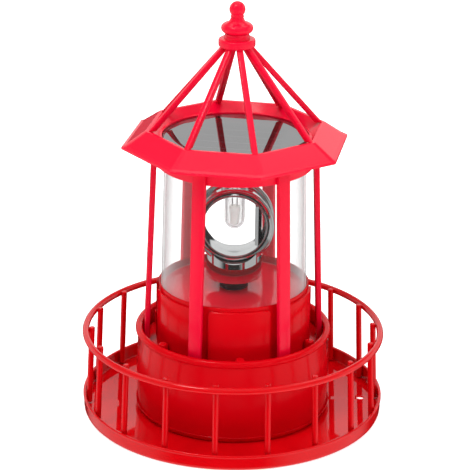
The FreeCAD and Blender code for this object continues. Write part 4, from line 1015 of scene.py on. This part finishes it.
# ------------------------------------------------------------------ roof
@dataclass
class Roof:
    """Octagonal roof, rib cage, finial and solar panel."""

    around: AroundAxis
    eave_r: float = 61.4
    eave_low: float = 152.4
    eave_top: float = 153.8
    crease_r: float = 59.3
    crease_z: float = 154.5
    crown_r: float = 48.6
    crown_z: float = 161.7
    crown_inner: float = 46.7
    well_r: float = 39.1
    well_edge: float = 40.3
    recess_r: float = 57.6
    recess_top: float = 154.1
    hole_r: float = 33.0
    hole_top: float = 154.8
    panel_r: float = 38.87
    panel_z: float = 157.0
    panel_low: float = 155.8
    panel_bend: float = 5.9
    panel_fall: float = 0.8
    hub_r: float = 9.7
    hub_low: float = 205.5
    hub_top: float = 209.8
    rib_foot_r: float = 47.1
    rib_head_r: float = 7.5
    rib_width: float = 3.2
    rib_depth: float = 4.05
    rib_turn: float = 22.5
    rib_count: int = 8
    ball_r: float = 4.2
    ball_z: float = 225.3

    def shell(self) -> None:
        """The roof with its stepped eave, sloped band and sunk well."""

        def on_octagon(point: Point) -> bool:
            """Tells the octagonal part from the round well."""
            return point[0] > (self.well_edge + self.crown_inner) / 2

        outline = soften([
            (self.well_r, self.panel_z, 0.2), (self.well_edge, self.panel_z, 0.2),
            (self.crown_inner, self.crown_z, 0.35), (self.crown_r, self.crown_z, 0.5),
            (self.crease_r, self.crease_z, 0.7), (self.eave_r, self.eave_top, 0.5),
            (self.eave_r, self.eave_low, 0.3), (self.recess_r, self.eave_low, 0.2),
            (self.recess_r, self.recess_top), (self.hole_r, self.recess_top),
            (self.hole_r, self.hole_top), (self.well_r, self.hole_top), (self.well_r, 156.0),
        ])
        mesh = turned("roof_octagon", outline, eight=on_octagon, sharp=38.0)
        piece("roof_octagon", mesh, Slot.PLASTIC, "base", "roof_shell")

    def cage(self) -> None:
        """Eight ribs under a round hub."""
        hub = turned("hub", soften([(0, self.hub_low), (self.hub_r, self.hub_low, 1.2),
                                    (self.hub_r, self.hub_top, 1.2), (0, self.hub_top)]), 96)
        rib = bar("rib", (self.rib_foot_r, self.crown_z - 0.2), (self.rib_head_r, self.hub_low + 1),
                  self.rib_width, self.rib_depth, self.rib_turn, 0.6)
        ribs = self.around.repeat(rib, self.rib_count, Slot.PLASTIC)
        piece("rib_cage", joined("rib_cage", [hub, ribs]), Slot.PLASTIC, "base", "roof_cage")

    def finial(self) -> None:
        """The turned knob: waist, bead, neck and ball."""
        outline = [
            (0, self.hub_top),
            *soften([(0, self.hub_top), (6.9, self.hub_top), (6.8, 210.7, 0.6), (6.3, 211.8, 0.5),
                     (6.4, 212.8, 0.3)])[1:],
            *arc((5.9, 215.4), 2.5, -78, 78, 12),
            *soften([(6.4, 217.9), (4.9, 218.5, 0.5), (4.0, 219.3, 0.5), (3.3, 220.8, 0.8),
                     (3.2, 221.9, 0.4)])[6:],
            *arc((0, self.ball_z), self.ball_r, -41, 90, 14)[:-1],
            (0, self.ball_z + self.ball_r),
        ]
        piece("finial_knob", turned("finial_knob", outline, 96, 60.0), Slot.PLASTIC, "base",
              "finial")

    def panel(self) -> None:
        """The panel's clear cover, whose edge falls off in a soft bow."""
        flat, fall = self.panel_r - self.panel_bend, self.panel_fall
        bend = [(flat + self.panel_bend * k / 8, self.panel_z - fall * (k / 8) ** 2)
                for k in range(9)]
        rim = self.panel_z - fall
        cover = turned("panel_glass", [
            (0, self.panel_low), (self.panel_r, self.panel_low), (self.panel_r, rim - 0.2),
            (self.panel_r - 0.15, rim), *bend[::-1][1:], (0, self.panel_z),
        ])
        glossy = ClearFinish("panel cover", colour=(0.015, 0.016, 0.018), face=0.35, edge=1.0,
                             power=0.8, roughness=0.015, glow=0.0, specular=1.0, index=2.6)
        piece("panel_glass", cover, Slot.CLEAR, "base", "panel_cover", material=glossy.material())

    def build(self) -> None:
        """Makes the whole roof."""
        self.shell()
        self.cage()
        self.finial()
        self.panel()


# ------------------------------------------------------------------ beacon and lamp
@dataclass
class Beacon:
    """The chromed ring and cup on their black hub."""

    turn: float = 10.0
    mid: float = 107.8
    bore: float = 16.2
    half: float = 9.0
    body_r: float = 19.6
    bead_r: float = 21.5
    bead_wire: float = 1.3
    bore_flat: float = 3.0
    lip_r: float = 17.3
    lip_wire: float = 0.5
    lamp_hole_r: float = 7.4
    cup_r: float = 15.0
    cup_wall: float = 1.8
    cup_low: float = 77.4
    cup_seat: float = 78.8
    cup_top: float = 96.0
    cup_hole_r: float = 4.5
    shade_r: float = 12.8
    shade_wall: float = 2.0
    shade_reach: float = 11.0
    shade_turn: float = 30.0
    hub_r: float = 7.8
    hub_low: float = 70.8
    hub_plate_r: float = 13.1
    hub_hole_r: float = 1.52

    def laid(self, mesh: bpy.types.Mesh) -> bpy.types.Mesh:
        """Lays an upright mesh along the ring's level axis, at the ring's height."""
        mesh.transform(Matrix.Rotation(math.radians(90), 4, "X"))
        return moved(mesh, z=self.mid)

    def ring(self) -> bpy.types.Mesh:
        """The beaded ring, turned about its own level axis.

        Returns:
            The mesh, in metres.
        """
        right = [
            (self.body_r, self.half - 2 * self.bead_wire),
            *arc((self.bead_r - self.bead_wire, self.half - self.bead_wire), self.bead_wire,
                 -60, 80, 8),
            (19.4, self.half - 0.6), (17.9, self.half - 1.9), (17.5, self.half - 1.8),
            *arc((self.lip_r, self.half - 1.1), self.lip_wire, 10, 200, 8),
            (self.bore, self.bore_flat),
        ]
        left = [(r, -h) for r, h in reversed(right)]
        mesh = self.laid(turned("ring", [*right, *left], 160, 40.0))
        return cut(mesh, [rod("lamp_hole", self.lamp_hole_r, self.mid, self.mid + 30)], 40.0)

    def cup(self) -> bpy.types.Mesh:
        """The upright cup, hollowed to the ring's curve.

        Returns:
            The mesh, in metres.
        """
        inner = self.cup_r - self.cup_wall
        mesh = turned("cup", soften([
            (self.cup_hole_r, self.cup_seat), (inner, self.cup_seat), (inner, self.cup_low),
            (self.cup_r, self.cup_low, 0.3), (self.cup_r, self.cup_top),
            (self.cup_hole_r, self.cup_top),
        ]), 128)
        saddle = rod("saddle", self.body_r - 0.4, -40, 40, segments=160)
        return cut(mesh, [self.laid(saddle)], 40.0)

    def shade(self) -> bpy.types.Mesh:
        """The short wall that screens the lamp on one side.

        Returns:
            The mesh, in metres.
        """
        inner, outer = self.shade_r, self.shade_r + self.shade_wall
        low, high = self.mid - self.shade_reach, self.mid + self.shade_reach
        rings = []
        for spread in range(-8, 9):
            direction = 90.0 + self.shade_turn * spread / 8
            rings.append([Vector((*polar(radius, direction), height)) for radius, height in
                          ((inner, low), (outer, low), (outer, high), (inner, high))])
        return skinned("shade", rings, 40.0)

    def build(self) -> None:
        """Makes the beacon and its hub."""
        mesh = joined("mirror_beacon", [self.ring(), self.cup(), self.shade()], 40.0)
        mesh.transform(Matrix.Rotation(math.radians(self.turn), 4, "Z"))
        piece("mirror_beacon", mesh, Slot.CHROME, "beacon", "reflector")
        hub = turned("hub", soften([
            (self.hub_hole_r, self.hub_low), (self.hub_r, self.hub_low, 0.6),
            (self.hub_r, self.cup_low), (self.hub_plate_r, self.cup_low),
            (self.hub_plate_r, self.cup_seat), (self.hub_hole_r, self.cup_seat),
        ]), 96)
        piece("turntable_hub", hub, Slot.BLACK, "beacon", "beacon_hub")


@dataclass
class Lamp:
    """Clear sleeve and lead-frame cup."""

    low: float = 104.2
    radius: float = 5.5
    wall: float = 0.8
    top: float = 142.5
    cup_low: float = 106.4
    cup_top: float = 116.8
    cup_floor: float = 110.5
    # Painted light: strength of a faint glow that brightens the unlit lead-frame cup.
    cup_painted_light: float = 0.3

    def build(self) -> None:
        """Makes the lamp."""
        inner = self.radius - self.wall
        dome = self.low + self.radius
        outline = [
            (0, self.low), *arc((0, dome), self.radius, -88, 0, 14), (self.radius, self.top),
            (inner, self.top), *arc((0, dome), inner, 0, -88, 12), (0, self.low + self.wall),
        ]
        clear = ClearFinish("lamp sleeve", (0.50, 0.51, 0.51), face=0.14, edge=0.9, power=2.2,
                            glow=0.0)
        piece("lamp_sleeve", turned("lamp_sleeve", outline, 96, 60.0), Slot.CLEAR, "base",
              "led_bulb", material=clear.material())
        cup = turned("lamp_cup", soften([
            (0, self.cup_low), (2.2, self.cup_low, 0.8), (3.0, self.cup_top, 0.3),
            (2.6, self.cup_top), (1.5, self.cup_floor), (0, self.cup_floor),
        ]), 64)
        # Painted light: a faint glow stands in for the daylight the unlit lead-frame cup catches
        # inside the clear sleeve.
        set_glow(finish_of(Slot.LAMP_CUP), self.cup_painted_light, blue=0.97)
        piece("lamp_cup", cup, Slot.LAMP_CUP, "base", "led_chip")


# ------------------------------------------------------------------ nodes that stay
class InnerWorks:
    """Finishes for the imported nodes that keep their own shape."""

    NODES: dict[Slot, tuple[str, ...]] = {
        Slot.PLASTIC: ("ceiling_cover",),
        Slot.STEEL: ("cup_screws", "frame_screws", "ceiling_screws", "plate_screws",
                     "motor_screws", "spindle", "spindle_clip", "idler_pin", "motor_shaft",
                     "battery_contacts", "led_leads", "gear_plate", "motor"),
        Slot.BLACK: ("battery_cradle", "panel_backing", "switch_body", "switch_knob"),
        Slot.NYLON: ("spindle_gear", "idler_gear", "led_holder"),
        Slot.BRASS: ("spindle_bush", "motor_pinion"),
        Slot.SILICON: ("solar_cell",),
        Slot.FOAM: ("panel_seal",),
        Slot.BATTERY: ("battery_cell",),
        Slot.BOARD: ("circuit_board",),
        Slot.BOARD_PARTS: ("board_parts",),
    }

    def build(self) -> None:
        """Dresses every kept node."""
        for slot, nodes in self.NODES.items():
            for node in nodes:
                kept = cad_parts[node]
                if not kept.data.materials:
                    kept.data.materials.append(finish_of(slot))
                for place in kept.material_slots:
                    place.material = finish_of(slot)
                LOG.info("kept node %s: %s", node, slot.value)


# ------------------------------------------------------------------ studio
@dataclass(frozen=True)
class Softbox:
    """A square soft light aimed at the object, in metres and watts.

    Only a mirrored one shows in what the object reflects.
    """

    name: str
    place: tuple[float, float, float]
    size: float
    power: float
    mirrored: bool = False


@dataclass
class Studio:
    """Pale floor, soft lights and the camera of the photograph, in metres and pixels.

    Front, back, beside and gap are how bright the surround is at eye level and a little over it,
    overhead and behind how bright it is above, and below and underfoot under table level.
    """

    focal_px: float = 2000.0
    image_px: float = 470.0
    distance: float = 1.080
    elevation: float = 21.1
    azimuth: float = 10.0
    roll: float = 0.8
    principal_px: float = 234.3
    aim: tuple[float, float, float] = (0.0, 0.0, 0.1)
    sensor: float = 36.0
    softboxes: tuple[Softbox, ...] = (
        Softbox("key", (-0.8, -0.9, 1.5), 0.9, 8.0),
        Softbox("fill", (1.1, -0.9, 1.2), 1.0, 12.0),
        Softbox("top", (0.0, 0.0, 1.8), 1.2, 12.0),
        Softbox("spark", (-0.44, -0.56, 1.45), 0.4, 4.5, mirrored=True),
    )
    floor_half: float = 12.0
    floor_glow: float = 0.55
    below: float = 0.02
    beside: float = 0.65
    front: float = 0.25
    back: float = 0.95
    gap: float = 0.2
    overhead: float = 0.6
    behind: float = 1.7
    underfoot: float = 0.8

    def camera(self) -> None:
        """Sets the camera to the photograph's view."""
        az, el, roll = (math.radians(a) for a in (self.azimuth, self.elevation, self.roll))
        back = Vector((math.cos(el) * math.sin(az), -math.cos(el) * math.cos(az), math.sin(el)))
        right = Vector((math.cos(az), math.sin(az), 0.0))
        up = back.cross(right)
        right_rolled = right * math.cos(roll) + up * math.sin(roll)
        up_rolled = up * math.cos(roll) - right * math.sin(roll)
        turn = Matrix((right_rolled, up_rolled, back)).transposed()
        data = bpy.data.cameras.new("view")
        data.sensor_width = self.sensor
        data.lens = self.focal_px / self.image_px * self.sensor
        data.shift_x = (self.image_px / 2 - self.principal_px) / self.image_px
        data.clip_start = 0.01
        made = bpy.data.objects.new("view", data)
        spot = Vector(self.aim) + back * self.distance
        made.matrix_world = Matrix.Translation(spot) @ turn.to_4x4()
        bpy.context.collection.objects.link(made)
        bpy.context.scene.camera = made

    def floor(self) -> None:
        """A wide pale floor that gives off a little light and shows in no reflection."""
        work = bmesh.new()
        bmesh.ops.create_grid(work, x_segments=1, y_segments=1, size=self.floor_half)
        mesh = finish_mesh(bpy.data.meshes.new("floor"), work, 30)
        made = bpy.data.objects.new("floor", mesh)
        pale = Finish("pale floor", (0.93, 0.93, 0.93), roughness=0.9, specular=0.0, shade=0.995,
                      grain_depth=0.0).material()
        set_glow(pale, self.floor_glow)
        mesh.materials.append(pale)
        made.visible_glossy = False
        bpy.context.collection.objects.link(made)

    def lights(self) -> None:
        """Soft lights round the object and a pale surround."""
        for box in self.softboxes:
            data = bpy.data.lights.new(box.name, "AREA")
            data.size = box.size
            data.energy = box.power
            made = bpy.data.objects.new(box.name, data)
            made.location = box.place
            aim = Vector(self.aim) - Vector(box.place)
            made.rotation_euler = aim.to_track_quat("-Z", "Y").to_euler()
            made.visible_camera = False
            made.visible_glossy = box.mirrored
            bpy.context.collection.objects.link(made)
        world = bpy.data.worlds.new("surround")
        world.use_nodes = True
        self.surround(world.node_tree)
        bpy.context.scene.world = world
        bpy.context.scene.view_settings.view_transform = "Standard"

    def surround(self, tree: bpy.types.NodeTree) -> None:
        """A pale tent: bright behind and above, greyer in front, dark under table level.

        Args:
            tree: The world's node tree.
        """
        direction = tree.nodes.new("ShaderNodeTexCoord").outputs["Generated"]
        apart = tree.nodes.new("ShaderNodeSeparateXYZ")
        tree.links.new(direction, apart.inputs["Vector"])
        sideways = tree.nodes.new("ShaderNodeMath")
        sideways.operation = "ABSOLUTE"
        tree.links.new(apart.outputs["X"], sideways.inputs[0])
        along = {"X": sideways.outputs["Value"], "Y": apart.outputs["Y"], "Z": apart.outputs["Z"]}

        def ramp(axis: str, limits: Point, values: tuple[object, object]) -> bpy.types.NodeSocket:
            """Blends two values along an axis of the direction.

            Args:
                axis: X, counted both ways, Y or Z.
                limits: Where along it the blend starts and ends.
                values: Sockets or numbers before and after the blend.

            Returns:
                The blended value's socket.
            """
            made = tree.nodes.new("ShaderNodeMapRange")
            made.interpolation_type = "SMOOTHSTEP"
            for name, value in zip(("Value", "From Min", "From Max", "To Min", "To Max"),
                                   (along[axis], *limits, *values)):
                feed(tree, value, made.inputs[name])
            return made.outputs["Result"]

        # Upper half: eye level from front to back, a grey band over it, then the sky.
        level = ramp("Y", (-0.1, 0.35), (self.front, self.back))
        above = ramp("Y", (0.15, 0.5), (self.overhead, self.behind))
        middle = ramp("Z", (0.42, 0.55), (level, self.gap))
        upper = ramp("Z", (0.7, 0.82), (middle, above))
        # Lower half: dark in front and behind, lighter to both sides and straight down.
        shallow = ramp("X", (0.45, 0.8), (self.below, self.beside))
        lower = ramp("Z", (-0.8, -0.55), (self.underfoot, shallow))
        whole = ramp("Z", (-0.06, 0.02), (lower, upper))
        tree.nodes["Background"].inputs["Color"].default_value = (1.0, 1.0, 1.0, 1.0)
        tree.links.new(whole, tree.nodes["Background"].inputs["Strength"])

    def build(self) -> None:
        """Sets up the whole studio."""
        self.camera()
        self.floor()
        self.lights()


def main() -> None:
    """Builds every piece in order."""
    logging.basicConfig(level=logging.INFO, format="%(name)s: %(message)s")
    around = AroundAxis()
    for part in (Studio(), Base(around), Lantern(around), Roof(around), Beacon(), Lamp(),
                 InnerWorks()):
        part.build()
        LOG.info("built %s", type(part).__name__)


if __name__ == "__main__":
    main()
